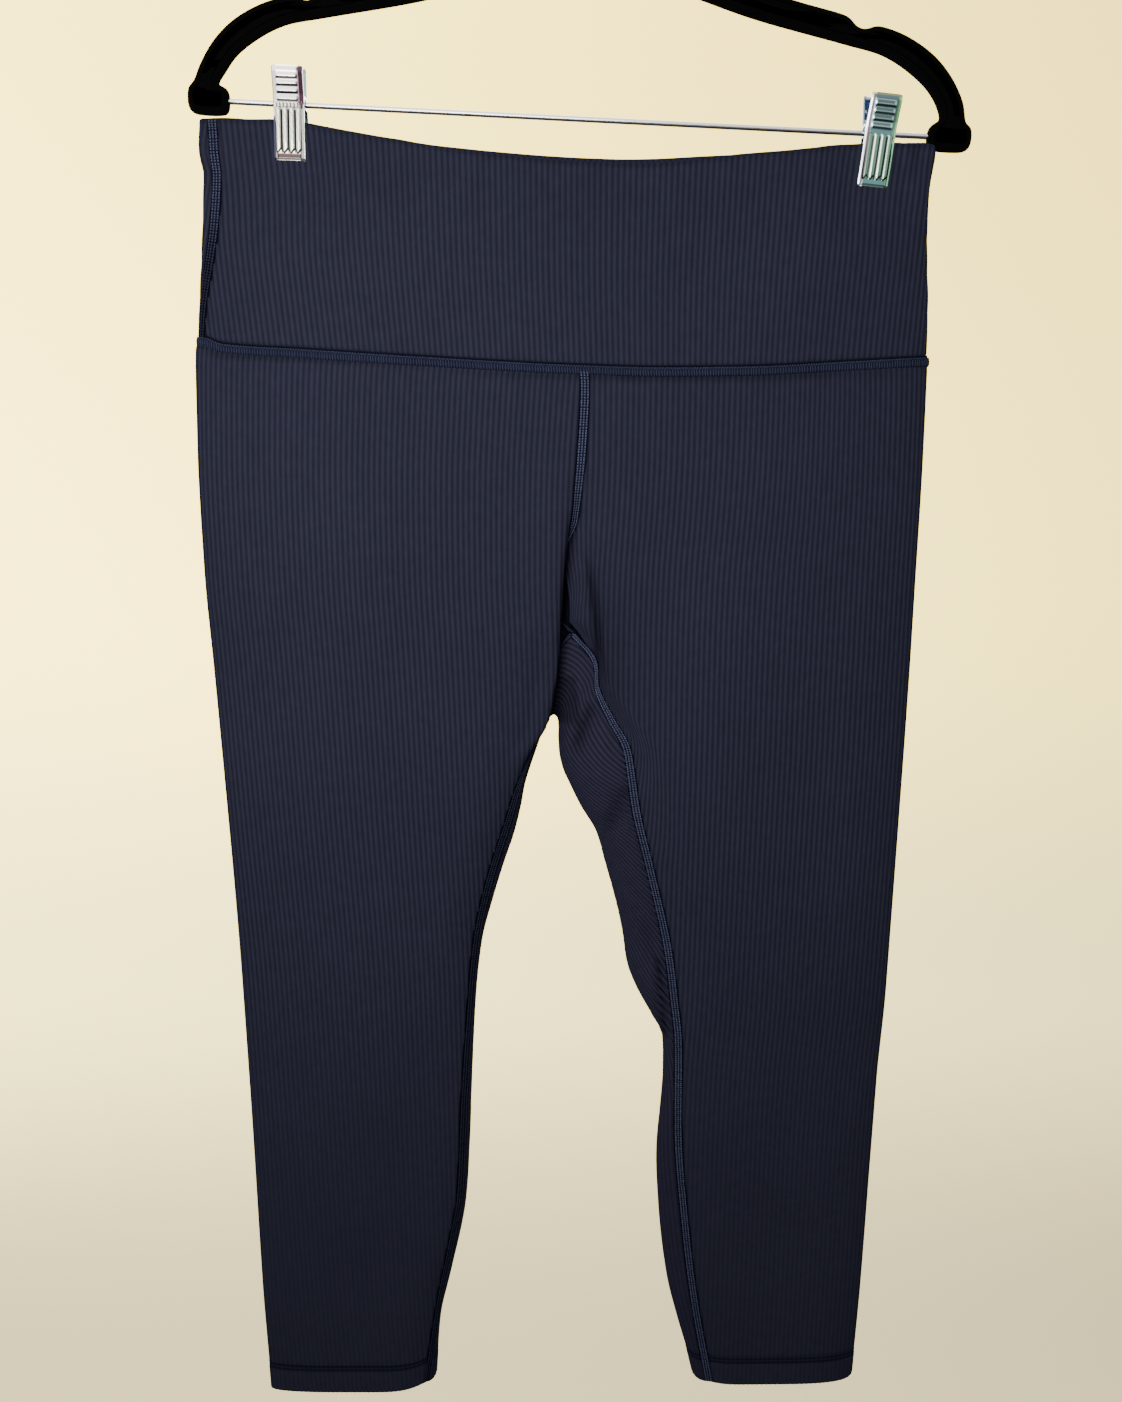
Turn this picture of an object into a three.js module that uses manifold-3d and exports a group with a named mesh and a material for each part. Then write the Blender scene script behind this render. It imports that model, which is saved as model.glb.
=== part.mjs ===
// Cropped leggings hanging from a clip hanger. Units are millimetres, +Z is up, the wearer's front faces -Y.
// The origin is the inner top of the hanger's hook, where the hanger rests on its rail.
// +X is the wearer's left side. The leggings' tables are written from a datum at the height of the front rise.
import * as THREE from 'three';
import { mergeVertices } from 'three/addons/utils/BufferGeometryUtils.js';
import Module from 'manifold-3d';

const wasm = await Module();
wasm.setup();

// ---------------------------------------------------------------- driving sizes
const DATUM = { x: -22, z: -434 };      // the leggings' datum in the part's frame
const CLOTH = 1.4;                      // wall of the single ribbed knit
const HEM_CLOTH = 2.3;                  // turned-up hem, two layers
const BAND_CLOTH = 2.6;                 // waistband, two layers folded at the top
const SEAM_GAP = 0.4;                   // gap left between two sewn pieces
const HEM_HEIGHT = 20;
const FOLD_POWER = 3.6;                 // squareness of the folded tube's sides

const HANGER_TILT = 2.6156;             // degrees, the +X end hangs lower
const HANGER_RISE = 230;                // bar centre line to the hook's inner top
const HANGER_THICK = 7;                 // velvet body, front to back
const BAR_RADIUS = 1.5;
const HOOK_RADIUS = 1.75;
const HOOK_INNER = 22;                  // inside radius of the hook's bend
const CLIP_WIDTH = 17.4;
const CLIP_SHEET = 1.0;
const CLIP_SPOTS = [                    // along the bar, turned about Y, in the hanger's own axes
  { name: 'clip_right', along: -165.4, lean: -0.7 },
  { name: 'clip_left', along: 170.1, lean: 3.3 },
];

// ---------------------------------------------------------------- tables of the leggings
// z is the height over the datum; every column is read between its rows by a smooth monotone curve.
const OUTER_FOLD = [ // x of the two side folds and how far each leans back (y)
  { z: 204, right: -202.5, left: 211.0, yRight: 0, yLeft: 0 },
  { z: 175, right: -205.0, left: 213.5, yRight: 0, yLeft: 0 },
  { z: 135, right: -209.0, left: 214.5, yRight: 0, yLeft: 0 },
  { z: 95, right: -213.5, left: 217.0, yRight: 0, yLeft: 0 },
  { z: 45, right: -217.5, left: 218.0, yRight: 0, yLeft: 0 },
  { z: 5, right: -220.0, left: 219.0, yRight: 0, yLeft: 0 },
  { z: -55, right: -220.5, left: 219.5, yRight: 0, yLeft: 0 },
  { z: -110, right: -219.0, left: 220.0, yRight: 0, yLeft: 0 },
  { z: -200, right: -217.0, left: 220.3, yRight: 0, yLeft: 1 },
  { z: -330, right: -215.0, left: 220.5, yRight: -1, yLeft: 2 },
  { z: -400, right: -215.0, left: 218.7, yRight: -1, yLeft: 2 },
  { z: -560, right: -215.5, left: 218.0, yRight: -3, yLeft: 4 },
  { z: -652, right: -214.0, left: 216.5, yRight: -5, yLeft: 6 },
];
const DEPTH = [ // greatest depth of the front and back layers
  { z: 204, front: 6.0, back: 6.0 },
  { z: 170, front: 8.5, back: 8.5 },
  { z: 130, front: 12.5, back: 12.0 },
  { z: 75, front: 16.0, back: 16.5 },
  { z: 30, front: 18.5, back: 22.0 },
  { z: -20, front: 19.5, back: 26.0 },
  { z: -70, front: 19.5, back: 27.0 },
  { z: -120, front: 19.0, back: 25.0 },
  { z: -160, front: 18.5, back: 22.5 },
  { z: -210, front: 17.5, back: 20.0 },
  { z: -330, front: 14.5, back: 15.5 },
  { z: -450, front: 12.8, back: 13.2 },
  { z: -652, front: 12.0, back: 12.0 },
];
const FRONT_SEAM = [ // centre-front seam down to the gusset's front tip; lean turns the panels forward beside it
  { z: 204, x: 11.0, y: -6.0, leanRight: 0, leanLeft: 0 },
  { z: 130, x: 11.0, y: -12.5, leanRight: 0, leanLeft: 0 },
  { z: 75, x: 12.5, y: -16.0, leanRight: 0, leanLeft: 0 },
  { z: 45, x: 14.0, y: -18.0, leanRight: 0, leanLeft: 0 },
  { z: 15, x: 12.0, y: -17.5, leanRight: 8, leanLeft: 8 },
  { z: -8, x: 9.5, y: -15.5, leanRight: 35, leanLeft: 14 },
  { z: -32, x: 7.0, y: -12.0, leanRight: 75, leanLeft: 26 },
  { z: -60, x: 5.5, y: -8.0, leanRight: 94, leanLeft: 34 },
  { z: -90, x: 7.0, y: -4.5, leanRight: 98, leanLeft: 42 },
];
const FRONT_INSEAM_LEFT = [ // +X leg, below the gusset's front tip
  { z: -90, x: 7.0, y: -4.5, lean: 42 },
  { z: -103, x: 18.5, y: -6.5, lean: 72 },
  { z: -113, x: 21.5, y: -7.5, lean: 78 },
  { z: -124, x: 23.0, y: -9.5, lean: 58 },
  { z: -143, x: 31.5, y: -13.5, lean: 26 },
  { z: -162, x: 41.5, y: -16.0, lean: 9 },
  { z: -181, x: 44.7, y: -16.5, lean: 4 },
  { z: -200, x: 47.5, y: -16.3, lean: 2 },
  { z: -244, x: 58.0, y: -15.4, lean: 2 },
  { z: -302, x: 71.0, y: -14.0, lean: 4 },
  { z: -338, x: 75.9, y: -12.6, lean: 8 },
  { z: -367, x: 79.3, y: -11.8, lean: 12 },
  { z: -437, x: 81.0, y: -10.8, lean: 14 },
  { z: -510, x: 87.7, y: -10.2, lean: 14 },
  { z: -586, x: 97.5, y: -9.6, lean: 14 },
  { z: -652, x: 108.8, y: -9.4, lean: 14 },
];
const FRONT_INSEAM_RIGHT = [ // -X leg: its front rolls over the gusset, so the seam starts behind the roll
  { z: -90, x: 7.0, y: -4.5, lean: 98 },
  { z: -97, x: 1.0, y: -2.5, lean: 100 },
  { z: -113, x: -3.5, y: 0.0, lean: 102 },
  { z: -124, x: -5.5, y: 0.0, lean: 103 },
  { z: -143, x: -10.5, y: -1.5, lean: 96 },
  { z: -160, x: -17.0, y: -4.5, lean: 78 },
  { z: -178, x: -23.5, y: -7.0, lean: 56 },
  { z: -194, x: -29.0, y: -8.5, lean: 42 },
  { z: -210, x: -33.7, y: -9.0, lean: 38 },
  { z: -254, x: -47.3, y: -9.0, lean: 34 },
  { z: -297, x: -56.5, y: -7.5, lean: 36 },
  { z: -350, x: -61.7, y: -6.5, lean: 38 },
  { z: -414, x: -66.8, y: -6.5, lean: 36 },
  { z: -493, x: -71.8, y: -5.5, lean: 36 },
  { z: -525, x: -77.6, y: -5.5, lean: 36 },
  { z: -575, x: -87.4, y: -4.5, lean: 36 },
  { z: -652, x: -99.5, y: -2.5, lean: 36 },
];
const BACK_SEAM = [ // centre-back seam down to the gusset's back tip, by its own height
  { z: 204, x: 9.0, y: 6.0, lean: 0 },
  { z: 75, x: 8.0, y: 16.0, lean: 0 },
  { z: 20, x: 7.0, y: 21.5, lean: 6 },
  { z: -30, x: 6.0, y: 23.0, lean: 14 },
  { z: -70, x: 5.0, y: 22.5, lean: 20 },
  { z: -105, x: 4.0, y: 20.0, lean: 24 },
];
const BACK_INSEAM = [ // both legs behind, by their own height
  { z: -105, left: 4.0, right: 4.0, y: 20.0, lean: 24 },
  { z: -110, left: 12.0, right: -4.0, y: 20.0, lean: 22 },
  { z: -116, left: 18.0, right: -13.0, y: 20.2, lean: 18 },
  { z: -126, left: 24.0, right: -26.0, y: 20.6, lean: 12 },
  { z: -138, left: 29.0, right: -39.0, y: 20.4, lean: 8 },
  { z: -157, left: 34.0, right: -55.0, y: 19.6, lean: 5 },
  { z: -184, left: 38.5, right: -72.0, y: 18.6, lean: 3 },
  { z: -202, left: 42.0, right: -78.0, y: 17.9, lean: 2 },
  { z: -246, left: 57.0, right: -84.0, y: 16.8, lean: 2 },
  { z: -300, left: 70.0, right: -89.0, y: 15.4, lean: 2 },
  { z: -352, left: 80.0, right: -91.5, y: 13.9, lean: 3 },
  { z: -412, left: 85.5, right: -89.5, y: 12.6, lean: 4 },
  { z: -490, left: 88.0, right: -90.0, y: 11.7, lean: 5 },
  { z: -560, left: 96.0, right: -103.0, y: 11.2, lean: 5 },
  { z: -652, left: 112.0, right: -117.0, y: 10.8, lean: 5 },
];
const INNER_FOLD_LEFT = [ // keel of the gusset over the crotch and down the +X leg; z is the front seam's height there
  { z: -90, x: -4.5, y: 12.0, keel: -146.0 },
  { z: -97, x: -2.6, y: 12.0, keel: -147.5 },
  { z: -103, x: -1.6, y: 12.0, keel: -150.0 },
  { z: -113, x: -1.4, y: 12.0, keel: -154.5 },
  { z: -124, x: -1.6, y: 12.0, keel: -160.0 },
  { z: -143, x: -1.2, y: 12.0, keel: -170.0 },
  { z: -162, x: 1.0, y: 12.0, keel: -181.0 },
  { z: -181, x: 6.0, y: 11.5, keel: -192.5 },
  { z: -200, x: 12.5, y: 11.0, keel: -206.0 },
  { z: -222, x: 23.5, y: 10.5, keel: -225.0 },
  { z: -246, x: 29.5, y: 10.0, keel: -246.5 },
  { z: -270, x: 36.0, y: 9.5, keel: -270.0 },
  { z: -296, x: 41.8, y: 9.0, keel: -296.0 },
  { z: -318, x: 45.0, y: 8.0, keel: -318.0 },
  { z: -336, x: 52.0, y: 6.5, keel: -336.0 },
  { z: -354, x: 62.0, y: 4.5, keel: -354.0 },
  { z: -372, x: 70.2, y: 2.0, keel: -372.0 },
  { z: -396, x: 70.8, y: 1.0, keel: -396.0 },
  { z: -460, x: 67.5, y: 1.0, keel: -460.0 },
  { z: -500, x: 69.5, y: 1.0, keel: -500.0 },
  { z: -560, x: 76.5, y: 1.0, keel: -560.0 },
  { z: -600, x: 85.0, y: 1.5, keel: -600.0 },
  { z: -630, x: 92.5, y: 2.0, keel: -630.0 },
  { z: -652, x: 97.5, y: 2.0, keel: -652.0 },
];
const INNER_FOLD_RIGHT = [ // the same down the -X leg
  { z: -90, x: -4.5, y: 12.0, keel: -146.0 },
  { z: -97, x: -6.6, y: 12.0, keel: -147.0 },
  { z: -103, x: -8.4, y: 11.8, keel: -149.0 },
  { z: -113, x: -10.6, y: 11.2, keel: -153.5 },
  { z: -124, x: -13.0, y: 10.6, keel: -159.0 },
  { z: -143, x: -16.4, y: 9.6, keel: -168.5 },
  { z: -162, x: -20.2, y: 8.6, keel: -179.5 },
  { z: -181, x: -23.8, y: 7.6, keel: -191.5 },
  { z: -200, x: -26.2, y: 6.6, keel: -204.5 },
  { z: -222, x: -30.8, y: 5.6, keel: -223.5 },
  { z: -246, x: -38.4, y: 5.0, keel: -246.3 },
  { z: -270, x: -45.6, y: 4.6, keel: -270.0 },
  { z: -300, x: -53.4, y: 4.4, keel: -300.0 },
  { z: -340, x: -58.2, y: 4.4, keel: -340.0 },
  { z: -400, x: -62.0, y: 4.4, keel: -400.0 },
  { z: -460, x: -65.0, y: 4.6, keel: -460.0 },
  { z: -500, x: -68.2, y: 5.0, keel: -500.0 },
  { z: -560, x: -80.2, y: 6.0, keel: -560.0 },
  { z: -600, x: -89.0, y: 7.0, keel: -600.0 },
  { z: -652, x: -93.5, y: 8.0, keel: -652.0 },
];
const LEVELS = [ // one row of the leg panels each: height of its front end and of its back end
  { front: 70, back: 72 }, { front: 52, back: 53 }, { front: 28, back: 28 }, { front: 4, back: 3 },
  { front: -18, back: -20 }, { front: -40, back: -44 }, { front: -60, back: -68 }, { front: -76, back: -88 },
  { front: -90, back: -105, tip: true },
  { front: -97, back: -110 }, { front: -103, back: -116 }, { front: -113, back: -126 }, { front: -124, back: -138 },
  { front: -135, back: -147 }, { front: -148, back: -157 }, { front: -162, back: -168 }, { front: -180, back: -184 },
  { front: -200, back: -202 }, { front: -222, back: -223 }, { front: -246, back: -246 }, { front: -270, back: -270 },
  { front: -296, back: -296 }, { front: -322, back: -322 }, { front: -348, back: -348 }, { front: -374, back: -374 },
  { front: -410, back: -410 }, { front: -450, back: -450 }, { front: -490, back: -490 }, { front: -530, back: -530 },
  { front: -570, back: -570 }, { front: -605, back: -605 }, { front: -632, back: -632 }, { front: -652, back: -652 },
];
const HEM_LEVEL = { right: -651, left: -644 };   // -X leg hangs a little longer
const WAIST_SEAM = [ // height of the waist seam along x, on the front and on the back
  { x: -222, front: 85.0, back: 85.0 }, { x: -208, front: 82.5, back: 83.5 }, { x: -198, front: 78.8, back: 81.5 },
  { x: -152, front: 75.4, back: 78.0 }, { x: -82, front: 71.0, back: 75.5 }, { x: 11, front: 66.2, back: 73.5 },
  { x: 58, front: 65.0, back: 72.5 }, { x: 104, front: 65.4, back: 71.5 }, { x: 170, front: 68.6, back: 71.5 }, { x: 222, front: 72.0, back: 72.0 },
];
const WAIST_TOP = [ // height of the folded top edge along x
  { x: -206, front: 200.5, back: 200.5 }, { x: -191, front: 202.0, back: 202.0 }, { x: -163, front: 201.0, back: 201.2 },
  { x: -144, front: 198.8, back: 199.6 }, { x: -97, front: 191.5, back: 194.2 }, { x: -39, front: 185.0, back: 189.4 },
  { x: 20, front: 180.8, back: 186.4 }, { x: 49, front: 180.1, back: 185.8 }, { x: 94, front: 183.0, back: 186.6 },
  { x: 125, front: 185.8, back: 187.8 }, { x: 160, front: 188.2, back: 188.6 }, { x: 190, front: 188.6, back: 188.6 }, { x: 214, front: 188.0, back: 188.0 },
];
const PINCH = { depth: 3.4, half: 13, soft: 26, from: 122, full: 174 };  // outer face held by the clips
const PINCH_SPOTS = [-155.4, 182.6];
const CORNER = { reach: 195, full: 208, from: 150, top: 184, forward: 8.5 };  // the +X top corner lies in front of the hanger's foot
const SIDE_SEAM = { rightIn: [ // inset of the waistband's side seam on the front of the -X side
  { z: 70, inset: 2.6 }, { z: 90, inset: 3.4 }, { z: 120, inset: 6.5 }, { z: 140, inset: 8.5 },
  { z: 160, inset: 9.0 }, { z: 180, inset: 8.6 }, { z: 204, inset: 6.5 }], leftBack: 12 };

// ---------------------------------------------------------------- reading a table
function track(rows, key, by = 'z') {
  const xs = rows.map((r) => r[by]);
  const flip = xs[0] > xs[xs.length - 1];
  const order = flip ? [...rows].reverse() : rows;
  const x = order.map((r) => r[by]);
  const y = order.map((r) => r[key]);
  const n = x.length;
  const d = [];
  for (let i = 0; i < n - 1; i++) d.push((y[i + 1] - y[i]) / (x[i + 1] - x[i]));
  const m = [d[0]];
  for (let i = 1; i < n - 1; i++) {
    if (d[i - 1] * d[i] <= 0) m.push(0);
    else {
      const h0 = x[i] - x[i - 1];
      const h1 = x[i + 1] - x[i];
      m.push((3 * (h0 + h1)) / ((2 * h1 + h0) / d[i - 1] + (h1 + 2 * h0) / d[i]));
    }
  }
  m.push(d[n - 2]);
  return (q) => {
    if (q <= x[0]) return y[0];
    if (q >= x[n - 1]) return y[n - 1];
    let i = 0;
    while (q > x[i + 1]) i++;
    const h = x[i + 1] - x[i];
    const t = (q - x[i]) / h;
    return y[i] * (1 + 2 * t) * (1 - t) ** 2 + h * m[i] * t * (1 - t) ** 2
      + y[i + 1] * t * t * (3 - 2 * t) + h * m[i + 1] * t * t * (t - 1);
  };
}
const smooth = (a, b, v) => { const t = Math.min(1, Math.max(0, (v - a) / (b - a))); return t * t * (3 - 2 * t); };
const mix = (a, b, t) => a + (b - a) * t;

const foldX = { left: track(OUTER_FOLD, 'left'), right: track(OUTER_FOLD, 'right') };
const foldY = { left: track(OUTER_FOLD, 'yLeft'), right: track(OUTER_FOLD, 'yRight') };
const depth = { front: track(DEPTH, 'front'), back: track(DEPTH, 'back') };
const seamFront = { x: track(FRONT_SEAM, 'x'), y: track(FRONT_SEAM, 'y'), left: track(FRONT_SEAM, 'leanLeft'), right: track(FRONT_SEAM, 'leanRight') };
const inseamFront = {
  left: { x: track(FRONT_INSEAM_LEFT, 'x'), y: track(FRONT_INSEAM_LEFT, 'y'), lean: track(FRONT_INSEAM_LEFT, 'lean') },
  right: { x: track(FRONT_INSEAM_RIGHT, 'x'), y: track(FRONT_INSEAM_RIGHT, 'y'), lean: track(FRONT_INSEAM_RIGHT, 'lean') },
};
const seamBack = { x: track(BACK_SEAM, 'x'), y: track(BACK_SEAM, 'y'), lean: track(BACK_SEAM, 'lean') };
const inseamBack = { left: track(BACK_INSEAM, 'left'), right: track(BACK_INSEAM, 'right'), y: track(BACK_INSEAM, 'y'), lean: track(BACK_INSEAM, 'lean') };
const keel = {};
for (const [side, rows] of [['left', INNER_FOLD_LEFT], ['right', INNER_FOLD_RIGHT]]) keel[side] = { x: track(rows, 'x'), y: track(rows, 'y'), z: track(rows, 'keel') };
const waistSeam = { front: track(WAIST_SEAM, 'front', 'x'), back: track(WAIST_SEAM, 'back', 'x') };
const waistTop = { front: track(WAIST_TOP, 'front', 'x'), back: track(WAIST_TOP, 'back', 'x') };
const sideInset = track(SIDE_SEAM.rightIn, 'inset');
const TIP = { front: -90, back: -105 };

// ---------------------------------------------------------------- one half section of the garment
// end of the front layer at height z: centre-front seam above the tip, inseam below it
function frontEnd(side, z) {
  if (z >= TIP.front) return { x: seamFront.x(z), y: seamFront.y(z), lean: seamFront[side](z) };
  const s = inseamFront[side];
  return { x: s.x(z), y: s.y(z), lean: s.lean(z) };
}
function backEnd(side, z) {
  if (z >= TIP.back) return { x: seamBack.x(z), y: seamBack.y(z), lean: seamBack.lean(z) };
  return { x: inseamBack[side](z), y: inseamBack.y(z), lean: inseamBack.lean(z) };
}
function pinchAt(x, z) {
  let p = 0;
  for (const c of PINCH_SPOTS) p = Math.max(p, 1 - smooth(PINCH.half, PINCH.half + PINCH.soft, Math.abs(x - c)));
  return p * smooth(PINCH.from, PINCH.full, z);
}
// a point of one layer (front or back) of one side at height z; s runs 0 at the seam, 1 at the side fold
function layer(side, face, z, s) {
  const out = side === 'left' ? 1 : -1;
  const fwd = face === 'front' ? -1 : 1;
  const end = face === 'front' ? frontEnd(side, z) : backEnd(side, z);
  const deep = depth[face](z);
  const fx = foldX[side](z);
  const fy = foldY[side](z);
  const reach = Math.min(36, 0.3 * Math.abs(fx - end.x));
  const split = 0.36;
  const q = { x: end.x + out * reach, y: fwd * deep };
  let x; let y;
  if (s <= split) {
    const t = s / split;
    const a = (end.lean * Math.PI) / 180;
    const rise = Math.max(0, fwd * (q.y - end.y));
    const l1 = mix(0.4 * reach, 0.8 * rise, Math.sin(a) ** 2);
    const p1 = { x: end.x + out * Math.cos(a) * l1, y: end.y + fwd * Math.sin(a) * l1 };
    const p2 = { x: q.x - out * 0.5 * reach, y: q.y };
    const b = [(1 - t) ** 3, 3 * t * (1 - t) ** 2, 3 * t * t * (1 - t), t ** 3];
    x = b[0] * end.x + b[1] * p1.x + b[2] * p2.x + b[3] * q.x;
    y = b[0] * end.y + b[1] * p1.y + b[2] * p2.y + b[3] * q.y;
  } else {
    const f = ((s - split) / (1 - split)) * Math.PI / 2;
    const e = 2 / FOLD_POWER;
    x = q.x + (fx - q.x) * Math.sin(f) ** e;
    y = fy + (q.y - fy) * Math.max(0, Math.cos(f)) ** e;
    if (s > 1 - 1e-9) y = fy;
  }
  const p = pinchAt(x, z);
  if (p > 0) y = mix(y, Math.sign(y) * Math.min(Math.abs(y), PINCH.depth), p);
  y -= CORNER.forward * smooth(CORNER.reach, CORNER.full, x) * smooth(CORNER.from, CORNER.top, z);
  return [x, y];
}
// the same with u from 0 (front seam) over the side fold (0.5) to 1 (back seam), heights per end
function panelPoint(side, level, u) {
  const zf = level.front;
  const zb = level.back;
  const face = u <= 0.5 ? 'front' : 'back';
  const s = u <= 0.5 ? u * 2 : (1 - u) * 2;
  const zMid = (zf + zb) / 2;
  const zEnd = face === 'front' ? zf : zb;
  let z = mix(zEnd, zMid, smooth(0, 1, s));
  const [x, y] = layer(side, face, z, s);
  const top = smooth(-6, 70, zf);
  z += top * (waistSeam[face](x) - mix(zEnd, zMid, smooth(0, 1, s))) * (zf >= 70 ? 1 : 0.85 * top);
  const low = smooth(-530, -652, zf);
  z += low * (HEM_LEVEL[side] + 652);
  return [x, y, z];
}

// ---------------------------------------------------------------- walls from grids of points
const sub = (a, b) => [a[0] - b[0], a[1] - b[1], a[2] - b[2]];
const add = (a, b, k = 1) => [a[0] + b[0] * k, a[1] + b[1] * k, a[2] + b[2] * k];
const cross = (a, b) => [a[1] * b[2] - a[2] * b[1], a[2] * b[0] - a[0] * b[2], a[0] * b[1] - a[1] * b[0]];
const dot = (a, b) => a[0] * b[0] + a[1] * b[1] + a[2] * b[2];
const unit = (a) => { const l = Math.hypot(...a) || 1; return [a[0] / l, a[1] / l, a[2] / l]; };

function gridNormals(g) {
  const R = g.length; const C = g[0].length;
  return g.map((row, i) => row.map((p, j) => {
    const du = sub(row[Math.min(C - 1, j + 1)], row[Math.max(0, j - 1)]);
    const dv = sub(g[Math.min(R - 1, i + 1)][j], g[Math.max(0, i - 1)][j]);
    return unit(cross(dv, du));
  }));
}
// outer: grid of points; normals: outward; wall(i, j): thickness there. Edges move in by half the seam gap where trim says.
function wallMesh(outer, normals, wall, trim) {
  const R = outer.length; const C = outer[0].length;
  const shift = (i, j) => {
    let p = [0, 0, 0];
    const n = normals[i][j];
    const pull = (q, k) => {
      let d = sub(q, outer[i][j]);
      d = unit(add(d, n, -dot(d, n)));
      p = add(p, d, k);
    };
    if (trim.start && j === 0) pull(outer[i][1], trim.start);
    if (trim.end && j === C - 1) pull(outer[i][C - 2], trim.end);
    if (trim.top && i === 0) pull(outer[1][j], trim.top);
    if (trim.bottom && i === R - 1) pull(outer[R - 2][j], trim.bottom);
    return p;
  };
  const pos = [];
  const id = (k, i, j) => (k * R + i) * C + j;
  for (const k of [0, 1]) for (let i = 0; i < R; i++) for (let j = 0; j < C; j++) {
    const base = add(outer[i][j], shift(i, j));
    const q = k ? add(base, normals[i][j], -wall(i, j)) : base;
    pos.push(q[0] + DATUM.x, q[1], q[2] + DATUM.z);
  }
  const idx = [];
  const quad = (a, b, c, d) => idx.push(a, b, c, a, c, d);
  for (let i = 0; i < R - 1; i++) for (let j = 0; j < C - 1; j++) {
    quad(id(0, i, j), id(0, i + 1, j), id(0, i + 1, j + 1), id(0, i, j + 1));
    quad(id(1, i, j), id(1, i, j + 1), id(1, i + 1, j + 1), id(1, i + 1, j));
  }
  for (let i = 0; i < R - 1; i++) {
    quad(id(0, i, 0), id(1, i, 0), id(1, i + 1, 0), id(0, i + 1, 0));
    quad(id(0, i, C - 1), id(0, i + 1, C - 1), id(1, i + 1, C - 1), id(1, i, C - 1));
  }
  for (let j = 0; j < C - 1; j++) {
    quad(id(0, 0, j), id(0, 0, j + 1), id(1, 0, j + 1), id(1, 0, j));
    quad(id(0, R - 1, j), id(1, R - 1, j), id(1, R - 1, j + 1), id(0, R - 1, j + 1));
  }
  const g = new THREE.BufferGeometry();
  g.setAttribute('position', new THREE.Float32BufferAttribute(pos, 3));
  g.setIndex(idx);
  return outward(g);
}
function outward(g) {
  const p = g.attributes.position; const ix = g.index.array;
  let v = 0;
  const at = (k) => [p.getX(k), p.getY(k), p.getZ(k)];
  for (let i = 0; i < ix.length; i += 3) v += dot(at(ix[i]), cross(at(ix[i + 1]), at(ix[i + 2])));
  if (v < 0) for (let i = 0; i < ix.length; i += 3) { const t = ix[i]; ix[i] = ix[i + 1]; ix[i + 1] = t; }
  g.computeVertexNormals();
  return g;
}

// ---------------------------------------------------------------- the leg panels and the gusset
const U_STOPS = { seam: 4, fold: 5 };   // steps from a seam to the flat part, and from there round the side fold
function uList() {
  const s = [];
  for (let i = 0; i <= U_STOPS.seam; i++) s.push(0.36 * i / U_STOPS.seam);
  for (let i = 1; i <= U_STOPS.fold; i++) s.push(0.36 + 0.64 * i / U_STOPS.fold);
  const front = s.map((v) => v / 2);
  const back = s.map((v) => 1 - v / 2).reverse().slice(1);
  return [...front, ...back];
}
const US = uList();
const legGrid = {};
for (const side of ['right', 'left']) legGrid[side] = LEVELS.map((lv) => US.map((u) => panelPoint(side, lv, u)));

const ACROSS = 7;   // points across the gusset, odd, from the front seam over the keel to the back seam
const tipRow = LEVELS.findIndex((l) => l.tip);
function gussetRow(side, row) {
  const lv = LEVELS[row];
  const grid = legGrid[side];
  const F = grid[row][0];
  const B = grid[row][US.length - 1];
  const k = keel[side];
  const low = smooth(-530, -652, lv.front) * (HEM_LEVEL[side] + 652);
  const M = [k.x(lv.front), k.y(lv.front), k.z(lv.front) + low];
  const arc = (E, t) => { // quarter arc from a seam point E (t = 0) to the keel (t = 1)
    const d = [M[0] - E[0], 0, M[2] - E[2]];
    const l = Math.hypot(...d);
    const c1 = add(E, unit(d), 0.62 * l);
    const c2 = [M[0], M[1] + 0.62 * (E[1] - M[1]), M[2]];
    const b = [(1 - t) ** 3, 3 * t * (1 - t) ** 2, 3 * t * t * (1 - t), t ** 3];
    return [0, 1, 2].map((i) => b[0] * E[i] + b[1] * c1[i] + b[2] * c2[i] + b[3] * M[i]);
  };
  const half = (ACROSS - 1) / 2;
  const out = [];
  for (let j = 0; j < ACROSS; j++) out.push(j <= half ? arc(F, j / half) : arc(B, (ACROSS - 1 - j) / half));
  return out;
}
const gussetGrid = [];
for (let r = LEVELS.length - 1; r > tipRow; r--) gussetGrid.push(gussetRow('right', r));
gussetGrid.push(gussetRow('left', tipRow));
for (let r = tipRow + 1; r < LEVELS.length; r++) gussetGrid.push(gussetRow('left', r));

// outward normals, shared along each seam so that the walls meet edge to edge
const norm = { right: gridNormals(legGrid.right), left: gridNormals(legGrid.left).map((r) => r.map((n) => n.map((v) => -v))), gusset: gridNormals(gussetGrid) };
const face = (n, probe, want) => (dot(n, want) < 0 ? n.map((v) => -v) : n);
{
  // make every grid's normals point away from the inside
  const check = (grid, ns, i, j, want) => { if (dot(ns[i][j], want) < 0) for (const r of ns) for (const n of r) { n[0] = -n[0]; n[1] = -n[1]; n[2] = -n[2]; } };
  check(legGrid.right, norm.right, 20, 6, [0, -1, 0]);
  check(legGrid.left, norm.left, 20, 6, [0, -1, 0]);
  check(gussetGrid, norm.gusset, 4, (ACROSS - 1) / 2, [1, 0, 0]);
}
const last = US.length - 1;
function share(list) {
  const n = unit(list.reduce((a, v) => add(a, v), [0, 0, 0]));
  for (const v of list) { v[0] = n[0]; v[1] = n[1]; v[2] = n[2]; }
}
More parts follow.
